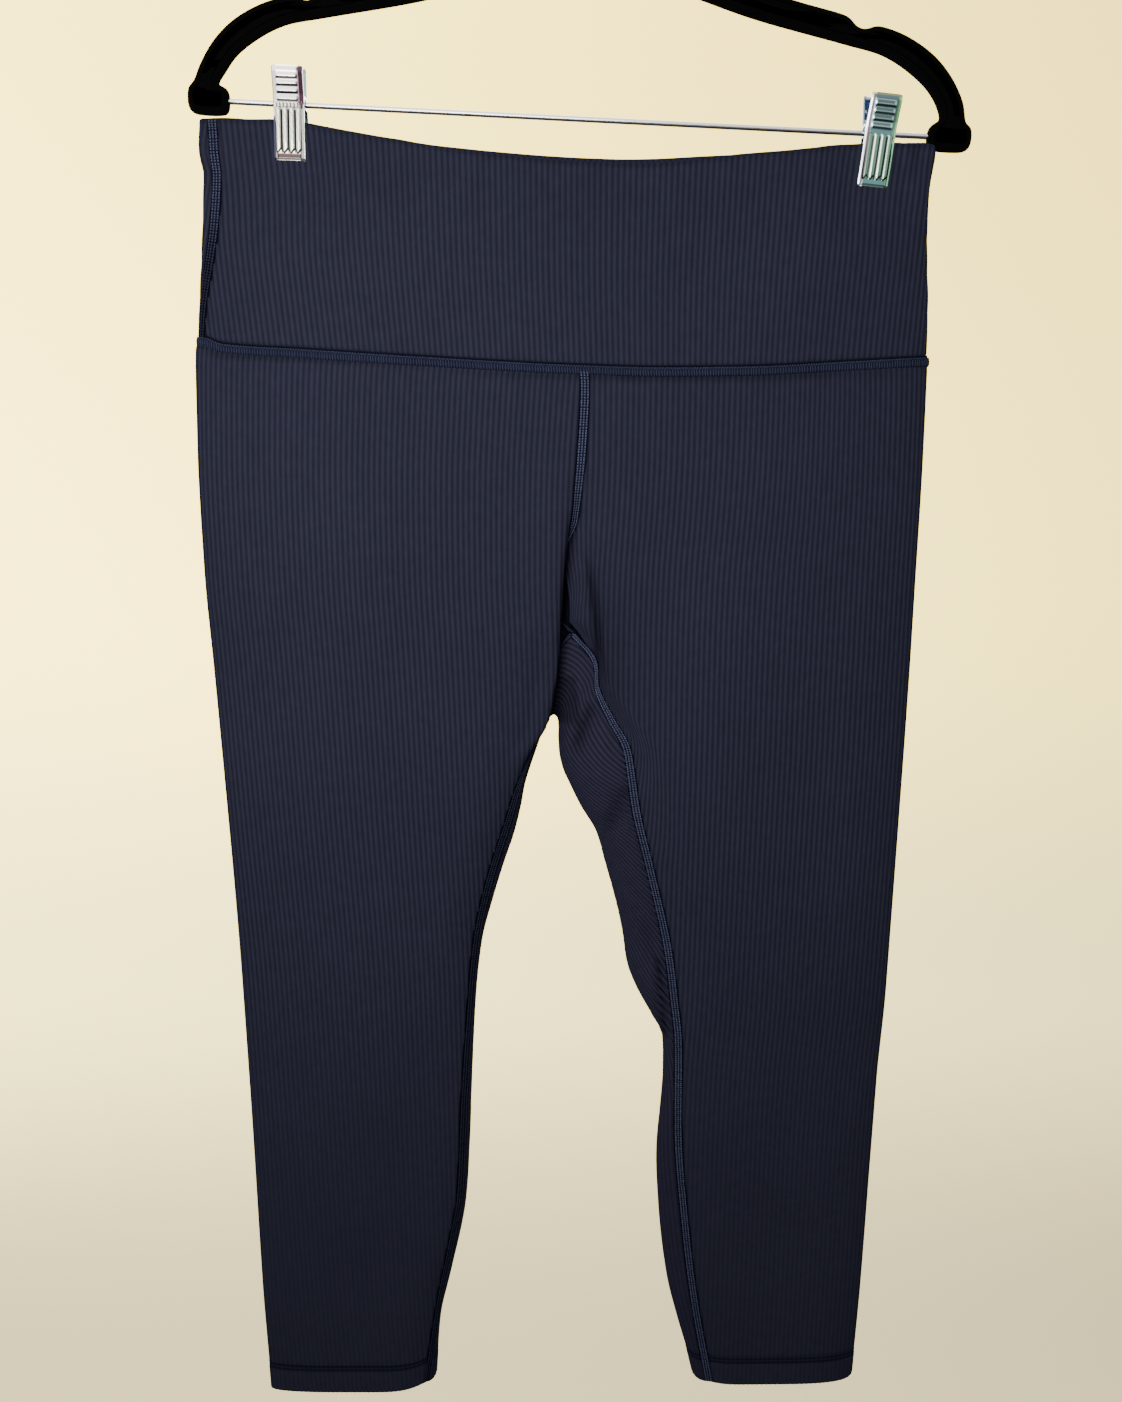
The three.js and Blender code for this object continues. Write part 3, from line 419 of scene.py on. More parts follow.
def layer(side, face, z, s):
    """x and y of one layer of one side at height z; s is 0 at the seam and 1 at the side fold."""
    z, s = np.broadcast_arrays(np.asarray(z, float), np.asarray(s, float))
    out = 1.0 if side == "left" else -1.0
    fwd = -1.0 if face == "front" else 1.0
    ex, ey, lean = end_of(side, face, z)
    fx, fy = fold_x[side](z), fold_y[side](z)
    reach = np.minimum(36.0, 0.3 * np.abs(fx - ex))
    qx, qy = ex + out * reach, fwd * depth[face](z)
    split = 0.36
    t = np.clip(s / split, 0, 1)
    a = np.radians(lean)
    rise = np.maximum(0.0, fwd * (qy - ey))
    l1 = mix(0.4 * reach, 0.8 * rise, np.sin(a) ** 2)
    p1x, p1y = ex + out * np.cos(a) * l1, ey + fwd * np.sin(a) * l1
    p2x = qx - out * 0.5 * reach
    b0, b1, b2, b3 = (1 - t) ** 3, 3 * t * (1 - t) ** 2, 3 * t * t * (1 - t), t ** 3
    xa = b0 * ex + b1 * p1x + b2 * p2x + b3 * qx
    ya = b0 * ey + b1 * p1y + b2 * qy + b3 * qy
    f = np.clip((s - split) / (1 - split), 0, 1) * math.pi / 2
    e = 2 / FOLD_POWER
    xb = qx + (fx - qx) * np.sin(f) ** e
    yb = fy + (qy - fy) * np.maximum(0.0, np.cos(f)) ** e
    yb = np.where(s > 1 - 1e-9, fy, yb)
    x, y = np.where(s <= split, xa, xb), np.where(s <= split, ya, yb)
    p = np.zeros_like(x)
    for c in PINCH_SPOTS:
        p = np.maximum(p, 1 - smooth(PINCH["half"], PINCH["half"] + PINCH["soft"], np.abs(x - c)))
    p = p * smooth(PINCH["from"], PINCH["full"], z)
    y = mix(y, np.sign(y) * np.minimum(np.abs(y), PINCH["depth"]), p)
    y = y - CORNER["forward"] * smooth(CORNER["reach"], CORNER["full"], x) * smooth(CORNER["from"], CORNER["top"], z)
    return x, y


def panel_points(side, zf, zb, u):
    """Points of a leg panel; u is 0 at the front seam, 0.5 at the side fold and 1 at the back seam."""
    zf, zb, u = np.broadcast_arrays(np.asarray(zf, float), np.asarray(zb, float), np.asarray(u, float))
    s = np.where(u <= 0.5, 2 * u, 2 * (1 - u))
    z_end = np.where(u <= 0.5, zf, zb)
    z = mix(z_end, (zf + zb) / 2, smooth(0, 1, s))
    xf, yf = layer(side, "front", z, s)
    xb, yb = layer(side, "back", z, s)
    x, y = np.where(u <= 0.5, xf, xb), np.where(u <= 0.5, yf, yb)
    seam = np.where(u <= 0.5, waist_seam["front"](x), waist_seam["back"](x))
    top = smooth(-6, 70, zf)
    z = z + top * (seam - z) * np.where(zf >= 70, 1.0, 0.85 * top)
    z = z + smooth(-530, -652, zf) * (HEM_LEVEL[side] + 652.0)
    return np.stack([x, y, z], -1)


def band_points(w, t):
    """Points of the waistband's ring; w is 0 at the -x fold, 1 centre front, 2 the +x fold, 3 centre back; t is 0 at the waist seam, 1 at the top."""
    w, t = np.broadcast_arrays(np.asarray(w, float) % 4.0, np.asarray(t, float))
    ways = [("right", "front", lambda v: 1 - v, w < 1), ("left", "front", lambda v: v - 1, (w >= 1) & (w < 2)),
            ("left", "back", lambda v: 3 - v, (w >= 2) & (w < 3)), ("right", "back", lambda v: v - 3, w >= 3)]
    out = np.empty(w.shape + (3,))
    for side, face, place, here in ways:
        if not here.any():
            continue
        s, tt = place(w[here]), t[here]
        z = mix(70.0, 190.0, tt)
        for _ in range(4):
            x, y = layer(side, face, z, s)
            z = mix(waist_seam[face](x), waist_top[face](x), tt)
        out[here] = np.stack([x, y, z], -1)
    return out


def norm(v):
    return v / np.maximum(np.linalg.norm(v, axis=-1, keepdims=True), 1e-12)


def crease(p, path, width, ends=(0.2, 0.2)):
    """How near points are to a crease laid along a path in x and z: 1 on it, fading over width and towards its two ends.
    The second value is the place across it, over 0 to the path's right as it goes down."""
    path = np.asarray(path, float)
    x, z = p[..., 0], p[..., 2]
    best, where, side = np.full(x.shape, 1e9), np.zeros(x.shape), np.zeros(x.shape)
    seg = np.linalg.norm(np.diff(path, axis=0), axis=1)
    cum = np.concatenate([[0], np.cumsum(seg)])
    for i in range(len(seg)):
        ax, az = path[i]
        dx, dz = path[i + 1] - path[i]
        t = np.clip(((x - ax) * dx + (z - az) * dz) / seg[i] ** 2, 0, 1)
        ex, ez = x - ax - t * dx, z - az - t * dz
        d = np.hypot(ex, ez)
        near = d < best
        best = np.where(near, d, best)
        where = np.where(near, (cum[i] + t * seg[i]) / cum[-1], where)
        side = np.where(near, (dx * ez - dz * ex) / seg[i], side)
    taper = smooth(0.0, max(ends[0], 1e-6), where) * smooth(1.0, 1.0 - max(ends[1], 1e-6), where)
    return np.exp(-(best / width) ** 2) * taper, side


def grid_normals(g, want, part=0.5):
    """Normals of a grid of points, towards want at that part of its rows."""
    n = norm(np.cross(np.gradient(g, axis=0), np.gradient(g, axis=1)))
    mid = n[int(g.shape[0] * part), g.shape[1] // 4] @ np.asarray(want, float)
    return n if mid >= 0 else -n


# ---------------------------------------------------------------- meshes
def to_part(p):
    return (np.asarray(p, float) + DATUM) / 1000.0


def make_object(name, verts, faces, materials, uv=None, shade=None, slots=None, smooth_faces=True, tint=None):
    """verts are in metres in the part's frame; uv and shade go by vertex, slots by face."""
    me = bpy.data.meshes.new(name)
    me.from_pydata([tuple(v) for v in np.asarray(verts).tolist()], [], faces)
    me.update()
    for m in materials:
        me.materials.append(m)
    loops = np.empty(len(me.loops), dtype=np.int64)
    me.loops.foreach_get("vertex_index", loops)
    if uv is not None:
        ul = me.uv_layers.new(name="rib")
        ul.data.foreach_set("uv", np.asarray(uv, np.float32)[loops].ravel())
    if shade is not None:
        at = me.attributes.new("shade", "FLOAT", "POINT")
        at.data.foreach_set("value", np.asarray(shade, np.float32))
    if tint is not None:
        at = me.attributes.new("tint", "FLOAT_COLOR", "POINT")
        at.data.foreach_set("color", np.concatenate([np.asarray(tint, np.float32), np.ones((len(tint), 1), np.float32)], axis=1).ravel())
    if slots is not None:
        me.polygons.foreach_set("material_index", np.asarray(slots, np.int32))
    me.polygons.foreach_set("use_smooth", np.full(len(me.polygons), smooth_faces))
    me.update()
    ob = bpy.data.objects.new(name, me)
    bpy.context.scene.collection.objects.link(ob)
    return ob


def mesh_normals(verts, faces):
    """Vertex normals from the faces' areas; faces are lists of 3 or 4."""
    n = np.zeros_like(verts)
    tri = []
    for f in faces:
        tri.append((f[0], f[1], f[2]))
        if len(f) == 4:
            tri.append((f[0], f[2], f[3]))
    tri = np.array(tri)
    c = np.cross(verts[tri[:, 1]] - verts[tri[:, 0]], verts[tri[:, 2]] - verts[tri[:, 0]])
    for k in range(3):
        np.add.at(n, tri[:, k], c)
    return norm(n)


def rib_height(c):
    """Rounded ribs with narrower grooves between them; c is the arc across the ribs."""
    p = np.cos(2 * math.pi * np.asarray(c) / PITCH)
    return RIB * (p + 0.18 * (1 - p * p))


class Ribbed:
    """A ribbed piece of cloth: rows of dense points with their arc from a base line, cut into columns that follow the ribs."""

    def __init__(self, rows, base_index, want):
        self.rows = rows                                  # (R, n, 3)
        seg = np.linalg.norm(np.diff(rows, axis=1), axis=2)
        cum = np.concatenate([np.zeros((len(rows), 1)), np.cumsum(seg, axis=1)], axis=1)
        self.arc = cum - cum[:, base_index:base_index + 1]
        self.n_dense = grid_normals(rows, want)
        along = np.linalg.norm(np.diff(rows[:, base_index], axis=0), axis=1)
        self.length = np.concatenate([[0.0], np.cumsum(along)])

    def at(self, c):
        """Points and normals at arcs c, an array with one row for each row."""
        c = np.broadcast_to(np.asarray(c, float), (len(self.rows), np.asarray(c).shape[-1]))
        p, n = np.empty(c.shape + (3,)), np.empty(c.shape + (3,))
        for i in range(len(self.rows)):
            for k in range(3):
                p[i, :, k] = np.interp(c[i], self.arc[i], self.rows[i, :, k])
                n[i, :, k] = np.interp(c[i], self.arc[i], self.n_dense[i, :, k])
        return p, norm(n)

    def columns(self, step=STEP):
        lo, hi = self.arc[:, 0].min(), self.arc[:, -1].max()
        return np.arange(math.floor(lo / step), math.ceil(hi / step) + 1) * step


def weave(name, P, N, V, C, lo, hi, materials, rib=None, shade=None, flip=False):
    """Mesh from a grid P cut at each row's ends lo and hi (arcs); C are the columns' arcs, V the rows' lengths.
    Columns past an end fall on the end's point, so the ribs run off at the seam as in cut cloth."""
    R, K = P.shape[:2]
    first = np.searchsorted(C, lo + 0.12)          # first column well inside
    last = np.searchsorted(C, hi - 0.12) - 1
    a, b = first - 1, last + 1                     # the columns that take the two ends
    index = np.clip(np.arange(K)[None, :], a[:, None], b[:, None])
    gid = index + np.arange(R)[:, None] * K
    used, inverse = np.unique(gid, return_inverse=True)
    inverse = inverse.reshape(R, K)
    arcs = np.clip(np.broadcast_to(C, (R, K)), lo[:, None], hi[:, None])
    verts = P.reshape(-1, 3)[used]
    faces = []
    for i in range(R - 1):
        q = np.stack([inverse[i, :-1], inverse[i + 1, :-1], inverse[i + 1, 1:], inverse[i, 1:]], 1)
        for f in q.tolist():
            g = [v for k, v in enumerate(f) if v != f[k - 1]]
            if len(g) > 2:
                faces.append(g[::-1] if flip else g)
    arc_used = arcs.reshape(-1)[used]
    v_used = np.broadcast_to(V if np.ndim(V) == 2 else np.asarray(V)[:, None], (R, K)).reshape(-1)[used]
    ok = mesh_normals(verts, faces)
    ref = N.reshape(-1, 3)[used]
    if np.mean(np.sum(ok * ref, 1)) < 0:
        faces = [f[::-1] for f in faces]
        ok = -ok
    if rib is not None:
        verts = verts + ref * rib.reshape(-1)[used][:, None]
    sh = None if shade is None else shade.reshape(-1)[used]
    return make_object(name, to_part(verts), faces, materials, uv=np.stack([arc_used / PITCH, v_used / PITCH], 1), shade=sh)


# ---------------------------------------------------------------- soft folds
def leg_fold(side, x, z, s, face):
    """How far the cloth stands off its plain form, outwards, mm: broad soft waves and a few creases, uneven in size."""
    d = np.zeros(np.broadcast(x, z).shape)
    body = smooth(66, 40, z) * smooth(0.0, 0.10, s) * smooth(1.0, 0.80, s)
    if face == "front" and side == "right":
        d += 1.1 * bump(x, -150 + 0.05 * (z + 200), 26) * bump(z, -250, 190)
        d -= 0.9 * bump(x, -96 - 0.03 * z, 20) * bump(z, -330, 170)
        d += 0.8 * bump(x, -178, 17) * bump(z, -500, 110)
        d -= 0.7 * bump(x, -60 - 0.25 * (z + 60), 17) * bump(z, -90, 70)
        d += 0.6 * bump(x, -110, 30) * bump(z, -20, 60)
    if face == "front" and side == "left":
        d += 1.0 * bump(x, 128, 24) * bump(z, -470, 150)
        d -= 0.9 * bump(x, 160 + 0.04 * (z + 300), 20) * bump(z, -300, 170)
        d += 0.8 * bump(x, 95 - 0.10 * (z + 150), 22) * bump(z, -190, 110)
        d -= 0.6 * bump(x, 62, 16) * bump(z, -70, 60)
        d += 0.7 * bump(x, 185, 16) * bump(z, -150, 120)
    if face == "back":
        k = 1.0 if side == "left" else -1.0
        d += 1.5 * bump(x, k * 120 + 0.06 * (z + 100), 24) * bump(z, -190, 120)
        d -= 1.2 * bump(x, k * 84 - 0.05 * z, 18) * bump(z, -260, 150)
        d += 1.2 * bump(x, k * 165, 20) * bump(z, -430, 170)
        d -= 1.4 * bump(z + 0.30 * k * x, -60 + (8 if k > 0 else 0), 13) * bump(x, k * 70, 45)     # slack under the seat
        d += 1.1 * bump(z + 0.26 * k * x, -84 + (5 if k > 0 else 0), 14) * bump(x, k * 78, 48)
        d -= 0.9 * bump(z + 0.22 * k * x, -112, 12) * bump(x, k * 92, 40)
    return d * body


# rows of the leg panels: heights of their front ends, closer together at the crotch and the edges
def between(a, b, step):
    n = max(1, int(round(abs(b - a) / step)))
    return np.linspace(a, b, n + 1)[:-1]


row_front = np.concatenate([[70, 69.0, 67.6, 66, 63.5], between(60, -18, 5.6), between(-18, TIP_FRONT, 3.6),
                            between(TIP_FRONT, -124, 2.6), between(-124, -230, 4.2), between(-230, -600, 6.6),
                            between(-600, -628, 4.0), [-628, -629.4, -630.4, -631.4, -632.4, -633.4, -635, -638, -642, -646, -649, -651, -651.7, -652]])
level_front, level_back = LEVELS["front"][::-1], LEVELS["back"][::-1]
row_back = np.interp(row_front, level_front, level_back)
TIP_ROW = int(np.argmin(np.abs(row_front - TIP_FRONT)))
row_front[TIP_ROW], row_back[TIP_ROW] = TIP_FRONT, TIP_BACK

u_half = 0.5 * np.concatenate([np.linspace(0, 0.36, 60), np.linspace(0.36, 1.0, 150)[1:]])
u_all = np.concatenate([u_half, (1 - u_half)[::-1][1:]])
BASE_U = len(u_half) - 1
panels = {}

# at the crotch the wearer's right panel rolls forward over the seam, which lies deeper
ROLL_EDGE = table("z x", """
12 11.2
3 11.2
-11 8.4
-20 6.0
-41 3.4
-68 0.9
-93 -0.3
-111 -1.4
-124 -3.3
-138 -5.8
-145 -7.6
-170 -20.4
-200 -30.6
""")
roll_edge = Track(ROLL_EDGE, "x")
VALLEY = [(14.0, -30), (17.7, -56), (21.0, -79), (22.5, -104), (23.5, -124)]


def rolled(g):
    """The right panel's first columns, from its seam round a tight roll to the plain front."""
    n = 60
    out = g.copy()
    for i in range(len(g)):
        z = row_front[i]
        w = float(smooth(-2, -34, z) * smooth(-196, -150, z))
        if w <= 0:
            continue
        old = g[i, :n]
        ex, S, Q = float(roll_edge(z)), old[0].copy(), old[-1]
        S[1] += 2.6 * w * float(smooth(-150, -100, z))
        reach = 13.0
        yf = np.interp(ex - reach, old[::-1, 0], old[::-1, 1])
        y0 = min(S[1] - 1.0, max(-9.5, yf + 4.0))
        a = np.linspace(0, math.pi / 2, 40)
        e = 2 / 3.4
        cx = ex - reach * (1 - np.cos(a) ** e)
        cy = y0 + (yf - y0) * np.sin(a) ** e
        inner = np.linspace(0, 1, 12)[:-1, None]
        head = np.array([[S[0], S[1]]]) * (1 - inner) + np.array([[ex, y0]]) * inner
        head[:, 1] += 0.8 * np.sin(inner[:, 0] * math.pi)
        tail = old[old[:, 0] < ex - reach - 0.3][:, :2]
        line = np.concatenate([head, np.stack([cx, cy], 1), tail])
        d = np.concatenate([[0], np.cumsum(np.linalg.norm(np.diff(line, axis=0), axis=1))])
        at = np.linspace(0, d[-1], n)
        new = np.stack([np.interp(at, d, line[:, 0]), np.interp(at, d, line[:, 1])], 1)
        od = np.concatenate([[0], np.cumsum(np.linalg.norm(np.diff(old[:, :2], axis=0), axis=1))])
        oat = np.linspace(0, od[-1], n)
        was = np.stack([np.interp(oat, od, old[:, 0]), np.interp(oat, od, old[:, 1])], 1)
        out[i, :n, :2] = was * (1 - w) + new * w
        out[i, :n, 2] = np.interp(oat, od, old[:, 2])
    return out


def tuck(g, reach):
    """Moves the front seam, and the cloth within reach of it, in behind the rolled edge."""
    z = row_front[:, None]
    edge_x = np.array([float(roll_edge(v)) for v in row_front])[:, None]
    w = smooth(-20, -36, z) * smooth(-90, -82, z)
    d = np.linalg.norm(g - g[:, :1], axis=2)
    out = g.copy()
    out[..., 0] += (edge_x - 1.8 - g[:, :1, 0]) * w * smooth(reach, 0.0, d)
    return out


for side in ("right", "left"):
    g = panel_points(side, row_front[:, None], row_back[:, None], u_all[None, :])
    front_half = u_all <= 0.4
    g[:, front_half] = tuck(g[:, front_half], 9.0 if side == "right" else 26.0)
    if side == "right":
        g = rolled(g)
    else:
        zz = row_front[:, None]
        from_seam = np.concatenate([np.zeros((len(g), 1)), np.cumsum(np.linalg.norm(np.diff(g, axis=1), axis=2), axis=1)], axis=1)
        w = smooth(-2, -34, zz) * smooth(-150, -100, zz) * np.exp(-(from_seam / 9.0) ** 2)
        g[..., 1] += 2.6 * w * smooth(-196, -150, zz)
    n = grid_normals(g, (0, -1, 0))
    s = np.where(u_all <= 0.5, 2 * u_all, 2 * (1 - u_all))[None, :]
    off = np.zeros(g.shape[:2])
    for face, here in (("front", u_all <= 0.5), ("back", u_all > 0.5)):
        off[:, here] = leg_fold(side, g[:, here, 0], g[:, here, 2], s[:, here], face)
    if side == "left":
        here = u_all <= 0.4
        near, across_it = crease(g[:, here], VALLEY, 3.2, (0.35, 0.2))
        crest, _ = crease(g[:, here], [(27, -45), (30, -75), (30.5, -105), (31, -130)], 6.5, (0.4, 0.3))
        off[:, here] += 1.6 * crest - 2.6 * near
    g = g + n * off[..., None]
    if side == "right":                                   # the two panels share their seams' points
        shared_front, shared_back = g[:TIP_ROW + 1, 0].copy(), g[:TIP_ROW + 1, -1].copy()
    else:
        g[:TIP_ROW + 1, 0], g[:TIP_ROW + 1, -1] = shared_front, shared_back
    panels[side] = Ribbed(g, BASE_U, (0, -1, 0))

# the gusset's rows: over the keel from each leg's front seam to its back seam
across = 26


def gusset_rows(side, rows):
    F, B = panels[side].rows[rows, 0], panels[side].rows[rows, -1]
    zf = row_front[rows]
    k = keel[side]
    low = smooth(-530, -652, zf) * (HEM_LEVEL[side] + 652.0)
    M = np.stack([k["x"](zf), k["y"](zf), k["keel"](zf) + low], 1)
    out = []
    for E in (F, B):
        d = (M - E) * np.array([1.0, 0.0, 1.0])
        length = np.linalg.norm(d, axis=1, keepdims=True)
        c1 = E + d * 0.62
        c2 = np.stack([M[:, 0], M[:, 1] + 0.62 * (E[:, 1] - M[:, 1]), M[:, 2]], 1)
        t = np.linspace(0, 1, across)[None, :, None]
        out.append((1 - t) ** 3 * E[:, None] + 3 * t * (1 - t) ** 2 * c1[:, None] + 3 * t * t * (1 - t) * c2[:, None] + t ** 3 * M[:, None])
    return np.concatenate([out[0], out[1][:, ::-1][:, 1:]], axis=1)


last_row = len(row_front) - 1
gusset_right = gusset_rows("right", np.arange(last_row, TIP_ROW, -1))
gusset_left = gusset_rows("left", np.arange(TIP_ROW, last_row + 1))
gusset_dense = np.concatenate([gusset_right, gusset_left], axis=0)
GUSSET_TIP = len(gusset_right)
gusset_n = grid_normals(gusset_dense, (0, 0, -1))


GUSSET_CREASES = [
    ([(19.6, -132), (17.1, -142), (12.1, -155), (6.4, -170)], 4.2, -2.8, (0.2, 0.35)),
    ([(42.3, -181), (38.0, -195), (33.0, -208), (27.3, -222)], 4.4, -2.4, (0.3, 0.3)),
    ([(30.0, -150), (26.0, -175), (20.0, -198)], 7.0, 1.6, (0.35, 0.35)),
    ([(9.0, -122), (7.0, -136), (4.5, -150), (2.5, -166)], 4.0, 1.6, (0.15, 0.4)),
    ([(42.0, -163), (45.4, -184)], 1.6, -0.9, (0.3, 0.4)),
    ([(49.0, -214), (52.0, -240), (55.0, -268)], 6.0, 1.1, (0.4, 0.4)),
    ([(55.0, -270), (57.0, -292), (62.0, -316)], 5.0, -1.0, (0.4, 0.4)),
    ([(62.0, -300), (63.5, -322), (66.0, -345)], 3.5, 0.9, (0.4, 0.3)),
]
SLIT = [(64.2, -304), (65.9, -322), (67.6, -340), (70.2, -367)]


def gusset_fold(p, j, i):
    """Creases of the inner-leg strip; j runs from the front seam (0) over the keel (1) to the back seam (2)."""
    edge = smooth(0.0, 0.10, j) * smooth(2.0, 1.75, j)
    d = np.zeros(p.shape[:-1])
    for path, width, deep, ends in GUSSET_CREASES:
        near, _ = crease(p, path, width, ends)
        d = d + deep * near
    near, side = crease(p, SLIT, 1.9, (0.12, 0.02))
    d = d - 2.6 * near
    return d * edge * smooth(1.25, 1.0, j)


jj = np.concatenate([np.linspace(0, 1, across), np.linspace(1, 2, across)[1:]])[None, :]
gusset_dense = gusset_dense + gusset_n * gusset_fold(gusset_dense, jj, None)[..., None]
gusset = Ribbed(gusset_dense, across - 1, (0, 0, -1))


# ---------------------------------------------------------------- materials
def srgb(r, g, b):
    return tuple(((c / 255.0) / 12.92 if c / 255.0 <= 0.04045 else ((c / 255.0 + 0.055) / 1.055) ** 2.4) for c in (r, g, b)) + (1.0,)


class Nodes:
    def __init__(self, name):
        self.m = bpy.data.materials.new(name)
        self.m.use_nodes = True
        self.t = self.m.node_tree
        self.bsdf = next(n for n in self.t.nodes if n.type == "BSDF_PRINCIPLED")

    def new(self, kind, **values):
        n = self.t.nodes.new(kind)
        for k, v in values.items():
            setattr(n, k, v)
        return n

    def link(self, a, b):
        self.t.links.new(a, b)

    def math(self, op, a, b=None, c=None, clamp=False):
        n = self.new("ShaderNodeMath", operation=op, use_clamp=clamp)
        for i, v in enumerate((a, b, c)):
            if v is None:
                continue
            if isinstance(v, (int, float)):
                n.inputs[i].default_value = v
            else:
                self.link(v, n.inputs[i])
        return n.outputs[0]

    def blend(self, fac, a, b, kind="MIX"):
        n = self.new("ShaderNodeMix", data_type="RGBA", blend_type=kind)
        for sock, v in ((n.inputs[0], fac), (n.inputs[6], a), (n.inputs[7], b)):
            if isinstance(v, (int, float)):
                sock.default_value = v
            elif isinstance(v, tuple):
                sock.default_value = v
            else:
                self.link(v, sock)
        return n.outputs[2]

    def noise(self, vector, scale, detail=2.0, rough=0.5):
        n = self.new("ShaderNodeTexNoise")
        n.inputs["Scale"].default_value = scale
        n.inputs["Detail"].default_value = detail
        n.inputs["Roughness"].default_value = rough
        if vector is not None:
            self.link(vector, n.inputs["Vector"])
        return n.outputs["Fac"]

    def bump(self, height, strength, distance, normal=None):
        n = self.new("ShaderNodeBump")
        n.inputs["Strength"].default_value = strength
        n.inputs["Distance"].default_value = distance
        self.link(height, n.inputs["Height"])
        if normal is not None:
            self.link(normal, n.inputs["Normal"])
        return n.outputs["Normal"]

    def set(self, **values):
        for k, v in values.items():
            self.bsdf.inputs[k.replace("_", " ")].default_value = v


def knit_material(name, crest, groove_painted_shade, fuzz=0.06):
    """Ribbed interlock: crests and grooves by the piece's own rib coordinates, the grooves darkened as painted shade,
    fine loops inside them, slight mottling, and painted shade from the 'shade' attribute.
    """
    n = Nodes(name)
    uv = n.new("ShaderNodeUVMap", uv_map="rib")
    sep = n.new("ShaderNodeSeparateXYZ")
    n.link(uv.outputs[0], sep.inputs[0])
    x, y = sep.outputs[0], sep.outputs[1]
    wave = n.math("COSINE", n.math("MULTIPLY", x, 2 * math.pi))
    crest_mask = n.new("ShaderNodeMapRange", interpolation_type="SMOOTHSTEP")
    crest_mask.inputs[1].default_value, crest_mask.inputs[2].default_value = -0.75, 0.55
    n.link(wave, crest_mask.inputs[0])
    co = n.new("ShaderNodeTexCoord").outputs["Object"]
    # the ribs show less towards the hems, and unevenly everywhere
    place = n.new("ShaderNodeSeparateXYZ")
    n.link(co, place.inputs[0])
    height_map = n.new("ShaderNodeMapRange", interpolation_type="SMOOTHSTEP")
    height_map.inputs[1].default_value, height_map.inputs[2].default_value = -1.02, -0.62
    height_map.inputs[3].default_value, height_map.inputs[4].default_value = 0.35, 1.0
    n.link(place.outputs[2], height_map.inputs[0])
    stretch = n.new("ShaderNodeMapping")
    stretch.inputs["Scale"].default_value = (1.0, 0.22, 1.0)
    n.link(uv.outputs[0], stretch.inputs["Vector"])
    patchy = n.noise(stretch.outputs[0], 1.6, 3.0, 0.6)
    depth_of = n.math("MULTIPLY", n.math("ADD", 0.05, n.math("MULTIPLY", patchy, 1.9)), height_map.outputs[0])
    crest_mix = n.math("ADD", 0.5, n.math("MULTIPLY", n.math("SUBTRACT", crest_mask.outputs[0], 0.5), depth_of), clamp=True)
    # loops of the knit: four wales to a rib, courses 0.6 mm apart, each leaning one way and then the other
    lean = n.math("ABSOLUTE", n.math("SINE", n.math("MULTIPLY", x, 4 * math.pi)))
    course = n.math("ADD", n.math("MULTIPLY", y, 2 * math.pi * 5.5), n.math("MULTIPLY", lean, 2.2))
    loops = n.math("MULTIPLY", n.math("SINE", course), 0.5)
    grain = n.noise(co, 900.0, 2.0, 0.6)
    broad = n.noise(co, 9.0, 3.0, 0.55)
    yarn = n.noise(co, 160.0, 2.0, 0.5)
    # crests against grooves darkened by painted shade
    colour = n.blend(crest_mix, groove_painted_shade, crest)
    tone = n.math("ADD", 0.80, n.math("MULTIPLY", broad, 0.22))
    tone = n.math("MULTIPLY", tone, n.math("ADD", 0.86, n.math("MULTIPLY", yarn, 0.28)))
    tone = n.math("MULTIPLY", tone, n.math("ADD", 0.94, n.math("MULTIPLY", grain, 0.12)))
    # the 'shade' attribute: painted shade set on the piece's points
    shade = n.new("ShaderNodeAttribute", attribute_name="shade")
    tone = n.math("MULTIPLY", tone, shade.outputs["Fac"])
    comb = n.new("ShaderNodeCombineColor")
    for k in range(3):
        n.link(tone, comb.inputs[k])
    colour = n.blend(1.0, colour, comb.outputs[0], "MULTIPLY")
    n.link(colour, n.bsdf.inputs["Base Color"])
    n.link(n.math("ADD", 0.78, n.math("MULTIPLY", yarn, 0.12)), n.bsdf.inputs["Roughness"])
    height = n.math("ADD", n.math("MULTIPLY", loops, 0.30), n.math("MULTIPLY", grain, 0.7))
    n.link(n.bump(height, 0.35, 0.00012), n.bsdf.inputs["Normal"])
    n.set(Specular_IOR_Level=0.0, Sheen_Weight=fuzz, Sheen_Roughness=0.5, Sheen_Tint=srgb(110, 118, 180))
    return n.m


def thread_material(name, light, dark):
    n = Nodes(name)
    co = n.new("ShaderNodeTexCoord").outputs["Object"]
    twist = n.noise(co, 1400.0, 1.0, 0.5)
    wear = n.noise(co, 60.0, 2.0, 0.5)
    colour = n.blend(n.math("ADD", n.math("MULTIPLY", twist, 0.55), n.math("MULTIPLY", wear, 0.45)), dark, light)
    # painted shading along the seam comes in by the 'shade' attribute
    shade = n.new("ShaderNodeAttribute", attribute_name="shade")
    comb = n.new("ShaderNodeCombineColor")
    for k in range(3):
        n.link(shade.outputs["Fac"], comb.inputs[k])
    n.link(n.blend(1.0, colour, comb.outputs[0], "MULTIPLY"), n.bsdf.inputs["Base Color"])
    n.link(n.math("ADD", 0.42, n.math("MULTIPLY", twist, 0.2)), n.bsdf.inputs["Roughness"])
    n.link(n.bump(twist, 0.4, 0.0001), n.bsdf.inputs["Normal"])
    n.set(Specular_IOR_Level=0.0, Sheen_Weight=0.02)
    return n.m
